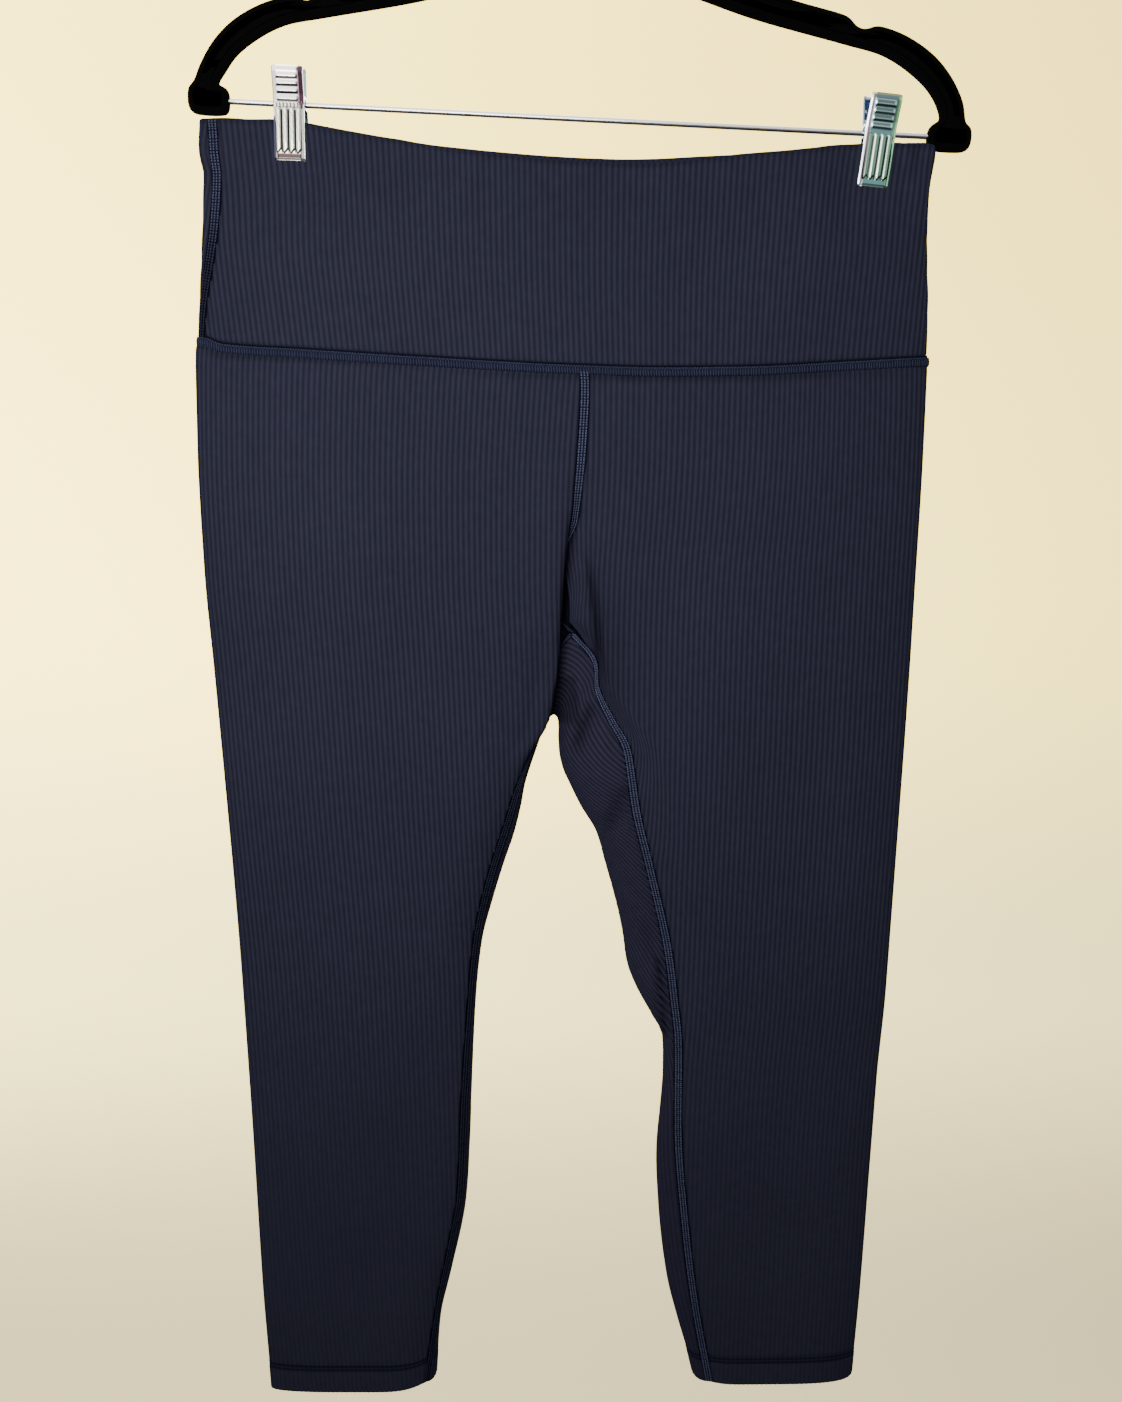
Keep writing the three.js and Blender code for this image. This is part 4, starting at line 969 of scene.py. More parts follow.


# each knit: its crest colour, then its groove colour darkened as painted shade
knit = knit_material("rib_knit_navy", srgb(51, 52, 70), srgb(39, 40, 55))
knit_strip = knit_material("rib_knit_strip", srgb(52, 51, 70), srgb(38, 37, 53))
tape = knit_material("seam_band_navy", srgb(31, 33, 52), srgb(24, 26, 41))
tape_light = knit_material("waist_seam_navy", srgb(36, 38, 57), srgb(29, 31, 48))
thread = thread_material("stitch_thread_blue", srgb(94, 99, 128), srgb(66, 70, 94))
thread_under = thread_material("stitch_thread_deep", srgb(34, 38, 60), srgb(24, 27, 44))
thread_waist = thread_material("waist_stitch_blue", srgb(64, 69, 94), srgb(42, 46, 66))
thread_dark = thread_material("stitch_thread_navy", srgb(22, 27, 52), srgb(13, 17, 38))


# ---------------------------------------------------------------- the leg panels
def seam_fade(c, lo, hi, a=2.6, b=4.6):
    return smooth(a, b, c - lo) * smooth(a, b, hi - c)


HEM_RUN = 20.0
LEAN_AT = table("z near all", """
90 0 8.0
60 0 7.6
20 0 5.6
-25 0 3.0
-45 3.5 1.6
-60 8.0 0.9
-75 13.0 0.4
-90 17.0 0
-105 19.5 0
-120 20.0 0
-150 14.0 0
-190 6.0 0
-240 0 0
-900 0 0
""")
leg_objects = {}
for side in ("right", "left"):
    pn = panels[side]
    C = pn.columns()
    lo, hi = pn.arc[:, 0].copy(), pn.arc[:, -1]
    if side == "left":
        # the ribs lean with the front seam near it, and lie slantwise in the hollow beside the crotch
        near_shift = np.interp(row_front, LEAN_AT["z"][::-1], LEAN_AT["near"][::-1])
        all_shift = np.interp(row_front, LEAN_AT["z"][::-1], LEAN_AT["all"][::-1])
        lo = lo - near_shift - all_shift
        arcs = C[None, :] + near_shift[:, None] * smooth(34.0, 0.0, C[None, :] - lo[:, None]) + all_shift[:, None] * smooth(-30.0, -120.0, C[None, :])
        lo = np.maximum(lo, -1e9)
        P, N = pn.at(arcs)
    else:
        P, N = pn.at(C)
    z_top = P[0, :, 2][None, :]
    below = z_top - P[..., 2]                                # depth under the waist seam
    above = P[..., 2] - HEM_LEVEL[side]
    fade = seam_fade(C[None, :], lo[:, None], hi[:, None]) * smooth(2.2, 5.0, below)
    hem = smooth(23.5, 19.5, above)                           # the turned-up hem is thicker and its ribs flatter
    stitch = bump(above, 19.6, 0.9) + bump(above, 22.3, 0.9)
    lift = rib_height(C)[None, :] * fade * (1 - 0.55 * hem) + 0.40 * hem - 0.34 * stitch
    near = np.minimum(C[None, :] - lo[:, None], hi[:, None] - C[None, :])
    # painted shade: dark lines beside the seams, under the waist seam and along the hem's two stitch rows
    shade = 1.0 - 0.45 * bump(near, 2.9, 0.9) * (near > 0) - 0.35 * bump(below, 3.4, 1.2) - 0.75 * stitch
    # the deep places beside the crotch's seam see little light
    if side == "left":
        dark, across = crease(P, VALLEY, 1.9, (0.35, 0.25))
        soft, _ = crease(P, [(19, -20), (24, -62), (29, -104), (34, -150), (38, -190)], 11.0, (0.3, 0.4))
        shade = shade - (0.50 * dark + 0.13 * soft) * (N[..., 1] < 0.2)
        under, _ = crease(P, [(9.4, -10), (7.4, -24), (5.0, -41), (3.4, -58), (2.4, -72), (1.8, -84)], 2.4, (0.25, 0.2))
        shade = shade - 0.55 * under * (N[..., 1] < 0.5)
    else:
        # painted shade on the cloth that lies tucked under the right panel's rolled edge
        z_of = P[..., 2]
        rolled_under = smooth(1.5, -1.5, roll_edge(z_of) - 1.2 - P[..., 0]) * smooth(-8, -30, z_of) * smooth(-150, -120, z_of)
        shade = shade * (1.0 - 0.7 * np.where(P[..., 1] < 4, np.clip(rolled_under, 0, 1), 0) * (P[..., 1] > -13.5))
    # painted shade where the cloth turns sideways at the folds
    shade = shade * (1.0 - 0.30 * smooth(0.5, 0.97, np.abs(N[..., 0])))
    # the hem turns under at its edge and runs up inside
    edge = len(row_front) - 1
    inside = [edge - k for k in range(1, 12)]
    inset_out = np.zeros(edge + 1)
    inset_out[edge] = 0.95
    inset_out[edge - 1] = 0.28
    inset_in = np.array([1.62] + [1.9] * (len(inside) - 1))
    P_all = np.concatenate([P - N * inset_out[:, None, None], P[inside] - N[inside] * inset_in[:, None, None]])
    N_all = np.concatenate([N, -N[inside]])
    lift_all = np.concatenate([lift, -lift[inside] * 0.2])
    lift_all[edge] = 0.2 * lift[edge]
    # the rows turned inside the hem get painted shade
    shade_all = np.concatenate([shade, np.full((len(inside), len(C)), 0.75)])
    V = np.concatenate([pn.length, pn.length[-1] + np.cumsum(np.abs(np.diff(pn.length[[edge] + inside])))])
    # outward is -y at the front, so the lift of the inside rows is along the same outward normal
    N_lift = np.concatenate([N, N[inside]])
    arcs_lo, arcs_hi = np.concatenate([lo, lo[inside]]), np.concatenate([hi, hi[inside]])
    ob = weave("leg_" + side + "_panel", P_all + N_lift * lift_all[..., None], N_all, V, C, arcs_lo, arcs_hi, [knit], shade=np.clip(shade_all, 0.2, 1.0))
    leg_objects[side] = ob

# ---------------------------------------------------------------- the inner-leg strip
gn = len(gusset.rows)
# its ribs are level at the crotch and run off into the front seams down each leg
away = np.abs(gusset.length - gusset.length[GUSSET_TIP])
SLOPE = table("at rate", """
0 0.0
12 0.35
40 0.85
95 0.85
150 0.55
210 0.28
300 0.08
420 0.0
900 0.0
""")
rate = np.interp(away, SLOPE["at"], SLOPE["rate"])
ordered = np.argsort(away)
run = np.zeros(gn)
run[ordered] = np.concatenate([[0], np.cumsum(0.5 * (rate[ordered][1:] + rate[ordered][:-1]) * np.diff(away[ordered]))])
lo, hi = gusset.arc[:, 0] + run, gusset.arc[:, -1] + run
C = np.arange(math.floor(lo.min() / STEP), math.ceil(hi.max() / STEP) + 1) * STEP
P, N = gusset.at(C[None, :] - run[:, None])
hem_of = np.where(np.arange(gn) < GUSSET_TIP, HEM_LEVEL["right"], HEM_LEVEL["left"])
above = P[..., 2] - hem_of[:, None]
hem = smooth(23.5, 19.5, above)
stitch = bump(above, 19.6, 0.9) + bump(above, 22.3, 0.9)
fade = seam_fade(C[None, :], lo[:, None], hi[:, None])
lift = rib_height(C)[None, :] * fade * (1 - 0.55 * hem) + 0.40 * hem - 0.34 * stitch
near = np.minimum(C[None, :] - lo[:, None], hi[:, None] - C[None, :])
# painted shade: dark lines beside the seams and along the hem's two stitch rows
shade = 1.0 - 0.45 * bump(near, 2.9, 0.9) - 0.75 * stitch
# painted shade in the hollow creases, and in the slit where the strip folds under
for path, width, deep, ends in GUSSET_CREASES:
    if deep < 0:
        dark, _ = crease(P, path, width * 0.8, ends)
        shade = shade - 0.16 * abs(deep) * dark
dark, _ = crease(P, SLIT, 1.2, (0.12, 0.02))
shade = shade - 0.85 * dark
# painted shade in the recess behind the crotch, between the two legs
recess = smooth(11.0, 8.2, P[..., 0] + 0.10 * (P[..., 2] + 120)) * smooth(-116.5, -120.5, P[..., 2] - 0.05 * P[..., 0]) * smooth(-152, -146, P[..., 2])
shade = np.clip(shade * (1.0 - 0.36 * recess), 0.10, 1.0)
inset = np.zeros(gn)
inset[[0, -1]], inset[[1, -2]] = 0.95, 0.28
turn_a, turn_b = list(range(11, 0, -1)), list(range(gn - 2, gn - 13, -1))
inset_a, inset_b = np.array([1.9] * 10 + [1.62]), np.array([1.62] + [1.9] * 10)
P_out = P + N * (lift - inset[:, None])[..., None]
P_all = np.concatenate([P[turn_a] - N[turn_a] * inset_a[:, None, None], P_out, P[turn_b] - N[turn_b] * inset_b[:, None, None]])
N_all = np.concatenate([-N[turn_a], N, -N[turn_b]])
order = turn_a + list(range(gn)) + turn_b
V = np.concatenate([[0], np.cumsum(np.abs(np.diff(gusset.length[order])))])
# the rows turned inside the hems get painted shade
shade_all = np.concatenate([np.full((11, len(C)), 0.75), shade, np.full((11, len(C)), 0.75)])
gusset_object = weave("inner_leg_strip", P_all, N_all, V, C, lo[order], hi[order], [knit_strip], shade=shade_all)


# ---------------------------------------------------------------- the waistband, folded over at the top
def place_near(test, t, w_lo, w_hi):
    lo_w, hi_w = np.full(t.shape, w_lo), np.full(t.shape, w_hi)
    for _ in range(30):
        m = (lo_w + hi_w) / 2
        ok = test(band_points(m, t))
        lo_w, hi_w = np.where(ok, m, lo_w), np.where(ok, hi_w, m)
    return (lo_w + hi_w) / 2


t_rows = np.concatenate([[0, 0.008, 0.018, 0.029, 0.042, 0.058], np.linspace(0.08, 0.93, 22), [0.95, 0.966, 0.98, 0.99, 0.9955, 1.0]])
z_mean = mix(72.0, 196.0, t_rows)
w_a = place_near(lambda p: p[..., 0] - fold_x["right"](p[..., 2]) < side_inset(z_mean), t_rows, 0.0, 0.98)
w_b = place_near(lambda p: fold_x["left"](p[..., 2]) - p[..., 0] < LEFT_BACK_INSET, t_rows, 2.0, 2.98)


def band_fold(p, which):
    """Soft shallow waves of the doubled waistband."""
    x, z = p[..., 0], p[..., 2]
    free = smooth(72, 84, z) * smooth(198, 176, z)
    d = 0.8 * bump(x, -60, 45) * bump(z, 140, 34) - 0.7 * bump(x, 60, 38) * bump(z, 120, 26) + 0.7 * bump(x, 130, 26) * bump(z, 118, 30)
    d = d - 0.6 * bump(x, -120, 22) * bump(z, 112, 26)
    if which == "back":
        d = -d + 1.0 * bump(x, 20, 36) * bump(z, 150, 30)
    return d * free


def band_rows(start, middle, stop):
    k = np.concatenate([np.linspace(0, 1, 200)])
    a = start[:, None] + (middle - start[:, None]) * (1 - (1 - k[None, :]) ** 1.0)
    b = middle + (stop[:, None] - middle) * k[None, 1:]
    return band_points(np.concatenate([a, b], axis=1), t_rows[:, None])


BAND_EDGE = table("z left right", """
74 0 -0.8
110 0 -0.9
140 0 -1.5
158 0 -2.1
168 0 -2.8
174 -0.4 -2.6
180 -2.4 -1.9
186 -3.2 -1.3
200 -3.2 -1.2
""")


TOP_EDGE = table("x up", """
-203.0 -0.20
-197.9 -1.10
-192.8 -1.20
-186.0 -0.75
-179.2 -0.20
-175.8 0.40
-169.6 1.55
-165.1 2.30
-153.8 2.90
-142.5 2.90
-135.8 2.45
-122.8 1.70
-103.0 1.50
-91.7 1.40
-74.7 0.50
-57.6 0.20
-34.8 -0.30
-12.0 -0.60
33.7 -0.80
56.6 -0.35
79.4 0.40
102.2 0.80
125.0 0.35
144.8 0.60
159.0 1.90
176.1 2.70
193.2 2.85
197.7 2.50
203.4 1.00
208.0 0.20
216.0 0.00
""")


def band_corner(p):
    """The band's two upper corners, pushed out of line by the hanger's hold."""
    x, z = p[..., 0], p[..., 2]
    out = p.copy()
    lx, rx = fold_x["right"](z), fold_x["left"](z)
    out[..., 0] += np.interp(z, BAND_EDGE["z"], BAND_EDGE["left"]) * smooth(22.0, 0.0, x - lx) + np.interp(z, BAND_EDGE["z"], BAND_EDGE["right"]) * smooth(26.0, 0.0, rx - x)
    out[..., 2] += 3.8 * smooth(46.0, 2.0, x - lx) * smooth(120, 186, z)
    out[..., 2] += np.interp(x, TOP_EDGE["x"], TOP_EDGE["up"]) * smooth(120, 186, z)
    return out


bands = {}
TURN = np.array([0.0] * (len(t_rows) - 3) + [0.12, 0.50, 1.30])
for which, rows, want in (("front", band_rows(w_a, 1.0, w_b), (0, -1, 0)), ("back", band_rows(w_b, 3.0, 4.0 + w_a), (0, 1, 0))):
    n = grid_normals(rows, want)
    rows = rows + n * band_fold(rows, which)[..., None]
    rows = band_corner(rows)
    bands[which] = Ribbed(rows, 199, want)

RIB_LEAN = table("at rate", """
-150 -0.065
-40 -0.01
10 0.0
90 0.05
150 0.095
""")
band_objects = {}
for which in ("front", "back"):
    bd = bands[which]
    C = bd.columns()
    C = np.concatenate([C[0] + STEP * np.arange(-16, 0), C, C[-1] + STEP * np.arange(1, 17)])
    last = len(t_rows) - 1
    above = bd.length[:, None]
    # the front's ribs lean outwards to the top, most at the wearer's left
    lean = np.interp(C, RIB_LEAN["at"], RIB_LEAN["rate"]) * (which == "front")
    P, N = bd.at(C[None, :] + lean[None, :] * (above - 62.0))
    lo = bd.arc[:, 0] - np.interp(bd.arc[:, 0], C, lean) * (above[:, 0] - 62.0)
    hi = bd.arc[:, -1] - np.interp(bd.arc[:, -1], C, lean) * (above[:, 0] - 62.0)
    under = (bd.length[-1] - bd.length)[:, None]
    fade = seam_fade(C[None, :], lo[:, None], hi[:, None]) * smooth(2.0, 4.5, above) * (0.25 + 0.75 * smooth(0.8, 4.0, under))
    lift = rib_height(C)[None, :] * fade - 0.25 * bump(above, 3.0, 1.0)
    near = np.minimum(C[None, :] - lo[:, None], hi[:, None] - C[None, :])
    # painted shade: dark lines beside the side seams, above the waist seam and under the top fold, and where the cloth
    # turns sideways
    shade = np.clip(1.0 - 0.45 * bump(near, 2.9, 0.9) - 0.40 * bump(above, 3.0, 1.1) + 0 * near, 0.2, 1.0)
    shade = shade * (1 - 0.25 * bump(under, 1.6, 1.1)) * (1.0 - 0.30 * smooth(0.5, 0.97, np.abs(N[..., 0])))
    down = [last - 1, last - 2, last - 3, last - 4, last - 6] + list(range(last - 9, 0, -3)) + [0]
    inset_in = np.array([2.05, 2.46, 2.6, 2.6, 2.6] + [2.6] * (len(down) - 5))
    # inside, the layer never crosses the middle of the band
    P_all = np.concatenate([P + N * (lift - TURN[:, None])[..., None], P[down] - N[down] * inset_in[:, None, None]])
    N_all = np.concatenate([N, -N[down]])
    order = list(range(last + 1)) + down
    V = np.concatenate([[0], np.cumsum(np.abs(np.diff(bd.length[order])) + 0.05)])
    # the layer turned inside gets painted shade
    shade_all = np.concatenate([shade + np.zeros_like(P[..., 0]), np.full((len(down), len(C)), 0.8)])
    band_objects[which] = weave("waistband_" + which + "_panel", P_all, N_all, V, C, lo[order], hi[order], [knit], shade=shade_all)


# ---------------------------------------------------------------- seams: strips made from the panels' own points, moved out
class Strip:
    """Points over a seam: a grid with even steps along and offsets a across, with the cloth's normals."""

    def __init__(self, P, a, want, step, part=0.5):
        mid = P[:, len(a) // 2]
        length = np.concatenate([[0], np.cumsum(np.linalg.norm(np.diff(mid, axis=0), axis=1))])
        n = max(2, int(round(length[-1] / step)))
        at = np.linspace(0, length[-1], n + 1)
        self.P = np.empty((n + 1, len(a), 3))
        for j in range(len(a)):
            for k in range(3):
                self.P[:, j, k] = np.interp(at, length, P[:, j, k])
        self.N = grid_normals(self.P, want, part)
        self.a, self.total, self.step = np.asarray(a, float), length[-1], at[1]

    def at(self, l, a, h):
        l, a, h = np.broadcast_arrays(np.asarray(l, float), np.asarray(a, float), np.asarray(h, float))
        f = np.clip(l / self.step, 0, len(self.P) - 1.0001)
        i = f.astype(int)
        f = (f - i)[..., None]
        g = np.interp(a, self.a, np.arange(len(self.a)))
        j = np.clip(g.astype(int), 0, len(self.a) - 2)
        g = (g - j)[..., None]

        def pick(q):
            return (q[i, j] * (1 - f) * (1 - g) + q[i + 1, j] * f * (1 - g) + q[i, j + 1] * (1 - f) * g + q[i + 1, j + 1] * f * g)
        return pick(self.P) + norm(pick(self.N)) * h[..., None]


def grid_faces(R, K, base=0):
    i, j = np.meshgrid(np.arange(R - 1), np.arange(K - 1), indexing="ij")
    a = (base + i * K + j).ravel()
    return np.stack([a, a + K, a + K + 1, a + 1], 1)


def blocks(shape_pts):
    """Many small grids of the same size, joined: shape (n, R, K, 3)."""
    n, R, K, _ = shape_pts.shape
    f = grid_faces(R, K)
    faces = (f[None] + (np.arange(n) * R * K)[:, None, None]).reshape(-1, 4)
    return shape_pts.reshape(-1, 3), faces


def stitched(name, strip, profile, rungs, lines, period, materials, dim=None):
    """A raised seam with its stitches: profile rows are (across, height, painted shade); rungs (from, to, rise); lines
    are offsets across; dim gives painted shading along the seam's length, and without it the seam's tone only wavers a
    little.
    """
    prof = np.array(profile, float)
    n = len(strip.P)
    l = np.arange(n) * strip.step
    V1 = strip.at(l[:, None], prof[None, :, 0], prof[None, :, 1])
    verts, faces, slots, uv, shade = [V1.reshape(-1, 3)], [grid_faces(n, len(prof))], [], [], []
    slots.append(np.zeros(len(faces[0]), int))
    uv.append(np.stack([np.broadcast_to(prof[None, :, 0] / PITCH + 0.25, (n, len(prof))).ravel(), np.repeat(l / PITCH, len(prof))], 1))
    if dim is None:
        dim = lambda l: 1.0 - 0.08 * np.sin(l * 0.031) ** 2
    shade.append((prof[None, :, 2] * (0.35 + 0.65 * dim(l))[:, None]).ravel())
    count = len(verts[0])

    def top_of(a):
        return np.interp(a, prof[:, 0], prof[:, 1])

    def put(pts, slot):
        nonlocal count
        v, f = blocks(pts)
        verts.append(v)
        faces.append(f + count)
        slots.append(np.full(len(f), slot, int))
        uv.append(np.zeros((len(v), 2)))
        shade.append(np.repeat(dim(k), len(v) // len(k)))
        count += len(v)

    k = np.arange(0.8, strip.total - 0.6, period)
    wob = 0.10 * np.sin(k * 2.9) + 0.06 * np.sin(k * 7.1)
    for a0, a1, rise in rungs:
        a = np.linspace(a0, a1, 5)
        arch = np.array([0.0, 0.16, 0.20, 0.16, 0.0]) * rise
        w = np.array([-0.27, -0.13, 0.13, 0.27])
        hh = np.array([-0.05, 0.14, 0.14, -0.05])
        l3 = k[:, None, None] + wob[:, None, None] + w[None, None, :] + 0.10 * np.sin(np.arange(5) * 1.7)[None, :, None] * 0.6
        put(strip.at(l3, a[None, :, None], (top_of(a) + arch)[None, :, None] + hh[None, None, :]), 2)
    for a0 in lines:
        ls = np.array([0.14, 0.34, 0.62, 0.82]) * period
        w = np.array([-0.46, 0.0, 0.46])
        hh = np.array([0.0, 0.34, 0.0])
        hl = np.array([-0.05, 0.12, 0.12, -0.05])
        l3 = k[:, None, None] + ls[None, :, None] + 0 * w[None, None, :] + wob[:, None, None]
        put(strip.at(l3, a0 + w[None, None, :], top_of(a0) + hl[None, :, None] + hh[None, None, :]), 1)
    verts, faces = np.concatenate(verts), np.concatenate(faces)
    # faces turned the way the cloth faces
    nrm = np.cross(verts[faces[0][1]] - verts[faces[0][0]], verts[faces[0][3]] - verts[faces[0][0]])
    if nrm @ strip.N[0, 0] < 0:
        faces = faces[:, ::-1]
    return make_object(name, to_part(verts), faces.tolist(), materials, uv=np.concatenate(uv), shade=np.clip(np.concatenate(shade), 0, 1.2), slots=np.concatenate(slots))


# the seams' profile: across, height and painted shade, with dark lines along both edges where the strip meets the cloth
FLAT = [(-3.4, 0.02, 0.85), (-2.85, 0.03, 0.42), (-2.55, 0.05, 0.40), (-2.25, 0.40, 0.80), (-1.3, 0.50, 1.0), (0.0, 0.50, 1.0),
        (1.3, 0.50, 1.0), (2.25, 0.40, 0.80), (2.55, 0.05, 0.40), (2.85, 0.03, 0.42), (3.4, 0.02, 0.85)]
A = np.array([p[0] for p in FLAT])


def offsets(lo_a, a):
    return lo_a[:, None] + a[None, :]


def both_sides(left_piece, left_end, right_piece, right_end, rows_left, rows_right, inset=None):
    """Rows of a seam between two pieces: a < 0 on the first, a > 0 on the second. Each end is 'lo' or 'hi'."""
    neg, pos = A[A < 0], A[A >= 0]
    parts = []
    for piece, end, a, rows in ((left_piece, left_end, neg, rows_left), (right_piece, right_end, pos, rows_right)):
        e = piece.arc[:, 0] if end == "lo" else piece.arc[:, -1]
        c = e[:, None] + np.abs(a)[None, :] * (1 if end == "lo" else -1)
        p, n = piece.at(c)
        if inset is not None:
            p = p - n * inset(piece)[:, None, None]
        parts.append(p[rows])
    return np.concatenate(parts, axis=1)


def panel_inset(piece):
    v = np.zeros(len(piece.rows))
    if piece is gusset:
        v[[0, -1]], v[[1, -2]] = 0.95, 0.28
    else:
        v[-1], v[-2] = 0.95, 0.28
    return v


seams = {}
rise_rows = np.arange(0, TIP_ROW + 1)
pr, pl = panels["right"], panels["left"]
seams["seam_front_rise"] = (Strip(both_sides(pr, "lo", pl, "lo", rise_rows, rise_rows), A, (0, -1, 0), 1.9))
seams["seam_back_rise"] = (Strip(both_sides(pr, "hi", pl, "hi", rise_rows, rise_rows), A, (0, 1, 0), 1.9))
leg_rows = np.arange(TIP_ROW, last_row + 1)
strip_rows = {"left": GUSSET_TIP + (leg_rows - TIP_ROW), "right": np.where(leg_rows == TIP_ROW, GUSSET_TIP, last_row - leg_rows)}
for side, pn in (("right", pr), ("left", pl)):
    seams["seam_inner_front_" + side] = Strip(both_sides(pn, "lo", gusset, "lo", leg_rows, strip_rows[side], panel_inset), A, (0, -1, 0), 1.9)
    seams["seam_inner_back_" + side] = Strip(both_sides(pn, "hi", gusset, "hi", leg_rows, strip_rows[side], panel_inset), A, (0, 1, 0), 1.9)
band_all = np.arange(len(t_rows))
seams["seam_waist_side_right"] = Strip(both_sides(bands["back"], "hi", bands["front"], "lo", band_all, band_all, lambda p: TURN), A, (0, -1, 0), 1.9)
seams["seam_waist_side_left"] = Strip(both_sides(bands["front"], "hi", bands["back"], "lo", band_all, band_all, lambda p: TURN), A, (0, 1, 0), 1.9)
# painted shading along some seams, by length: the side seam darker towards the band's foot, the front seam darker
# towards the crotch, the inner seams brighter at the crotch and the right one darker down the leg, where it turns away
# into shade
SEAM_PAINTED_SHADING = {"seam_waist_side_right": lambda l: 0.30 + 0.55 * smooth(38.0, 86.0, l), "seam_front_rise": lambda l: 0.60 + 0.40 * smooth(130.0, 40.0, l),
       "seam_inner_front_left": lambda l: 1.14 - 0.20 * smooth(30.0, 90.0, l), "seam_inner_front_right": lambda l: 0.90 - 0.58 * smooth(50.0, 130.0, l)}
# the side seam ends level with the band's upper edge
end = seams["seam_waist_side_right"].P
end[..., 2] -= 0.7 * smooth(end[..., 2].max() - 9.0, end[..., 2].max(), end[..., 2])
seam_objects = {}
for name, st in seams.items():
    seam_objects[name] = stitched(name, st, FLAT, [(-1.95, 1.95, 1.0)], [-1.8, 0.0, 1.8], 1.55, [tape, thread, thread_under], SEAM_PAINTED_SHADING.get(name))

# the waist seam: a raised band all round, whipped along its lower half; the profile's third column is painted shade,
# dark lines along both edges
BAND = [(-4.1, 0.02, 0.85), (-3.5, 0.03, 0.40), (-3.15, 0.06, 0.40), (-2.8, 0.62, 0.80), (-1.9, 0.95, 1.0), (-0.7, 1.08, 1.0), (0.5, 1.08, 1.0),
        (1.5, 0.95, 1.05), (2.1, 0.62, 0.85), (2.45, 0.06, 0.35), (2.85, 0.03, 0.32), (3.6, 0.02, 0.85)]
ring = np.concatenate([np.linspace(k, k + 1, 260)[:-1] if k % 2 else np.linspace(k, k + 1, 260)[:-1] for k in range(4)] + [[4.0 - 1e-6]])
B = np.array([p[0] for p in BAND])


def waist_ring(w, d):
    """Points of the ring at height d over the waist seam."""
    w, d = np.broadcast_arrays(w, d)
    out = np.empty(w.shape + (3,))
    for side, face, place, here in (("right", "front", lambda v: 1 - v, w < 1), ("left", "front", lambda v: v - 1, (w >= 1) & (w < 2)),
                                    ("left", "back", lambda v: 3 - v, (w >= 2) & (w < 3)), ("right", "back", lambda v: v - 3, w >= 3)):
        s, dd = place(w[here]), d[here]
        z = 72.0 + dd
        for _ in range(4):
            x, y = layer(side, face, z, s)
            z = waist_seam[face](x) + dd
        out[here] = np.stack([x, y, z], -1)
    return out


waist = Strip(waist_ring(ring[:, None], B[None, :]), B, (0, -1, 0), 2.1, 0.125)
seam_objects["seam_waist"] = stitched("seam_waist", waist, BAND, [(-2.6, 1.15, 0.8)], [1.75], 1.57, [tape_light, thread_waist, thread_waist])


# the hems' two rows of stitches
def hem_strip(side):
    """Points round a leg's hem, over both rows of stitches, from the panel and the inner-leg strip."""
    pn = panels[side]
    rows_p = np.where((pn.rows[:, BASE_U, 2] - HEM_LEVEL[side] < 27) & (pn.rows[:, BASE_U, 2] - HEM_LEVEL[side] > 16))[0]
    idx = rows_p
    if side == "left":
        gi = GUSSET_TIP + (idx - TIP_ROW)
    else:
        gi = last_row - idx
    heights = pn.rows[idx, BASE_U, 2] - HEM_LEVEL[side]
    return pn, idx, gi, heights


hem_objects = {}
for side in ("right", "left"):
    pn, idx, gi, heights = hem_strip(side)
    want_h = np.array([18.2, 18.9, 19.6, 20.3, 21.0, 21.7, 22.3, 23.0, 23.8])
    loops = []
    for i, g in zip(idx, gi):
        loops.append(np.concatenate([pn.rows[i][2:-2], gusset.rows[g][::-1][2:-2]]))
    loops = np.array(loops)                                # (rows, around, 3)
    order = np.argsort(heights)
    ring_pts = np.empty((loops.shape[1], len(want_h), 3))
    for k in range(3):
        for j in range(loops.shape[1]):
            ring_pts[j, :, k] = np.interp(want_h, heights[order], loops[order, j, k])
    st = Strip(ring_pts, want_h - 21.0, (0, -1, 0), 1.6, 0.125)
    rows_of = []
    k = np.arange(0.6, st.total - 2.2, 2.7)
    for a0 in (-1.4, 1.3):
        ls = np.array([0.0, 0.35, 1.1, 1.85, 2.2])
        hl = np.array([-0.30, 0.0, 0.06, 0.0, -0.30])
        w = np.array([-0.28, 0.0, 0.28])
        hh = np.array([0.08, 0.34, 0.08])
        rows_of.append(st.at(k[:, None, None] + ls[None, :, None], a0 + w[None, None, :], hl[None, :, None] + hh[None, None, :]))
    v, f = blocks(np.concatenate(rows_of))
    nrm = np.cross(v[f[0][1]] - v[f[0][0]], v[f[0][3]] - v[f[0][0]])
    if nrm @ st.N[0, 0] < 0:
        f = f[:, ::-1]
    hem_objects[side] = make_object("hem_stitches_" + side, to_part(v), f.tolist(), [thread_dark], shade=np.ones(len(v)))


# ---------------------------------------------------------------- the hanger, in its own axes: origin at the bar's centre, x along the bar
ca, sa = math.cos(HANGER_TILT), math.sin(HANGER_TILT)


def hang(p):
    """Hanger's axes, mm, to the part's frame, metres."""
    p = np.asarray(p, float)
    x, y, z = p[..., 0], p[..., 1], p[..., 2]
    return np.stack([x * ca + z * sa - HANGER_RISE * sa, y, -x * sa + z * ca - HANGER_RISE * ca], -1) / 1000.0


CLIP_RISE = {"clip_right": 0.3, "clip_left": 1.5}


def clip_place(which, twist=0.0, plate=False):
    along, lean = CLIPS[which]
    lean = lean + twist
    up = CLIP_RISE[which] if plate else 0.0
    c, s = math.cos(lean), math.sin(lean)

    def go(p):
        p = np.asarray(p, float)
        x, y, z = p[..., 0], p[..., 1], p[..., 2] + up
        return hang(np.stack([x * c + z * s + along, y, -x * s + z * c], -1))
    return go


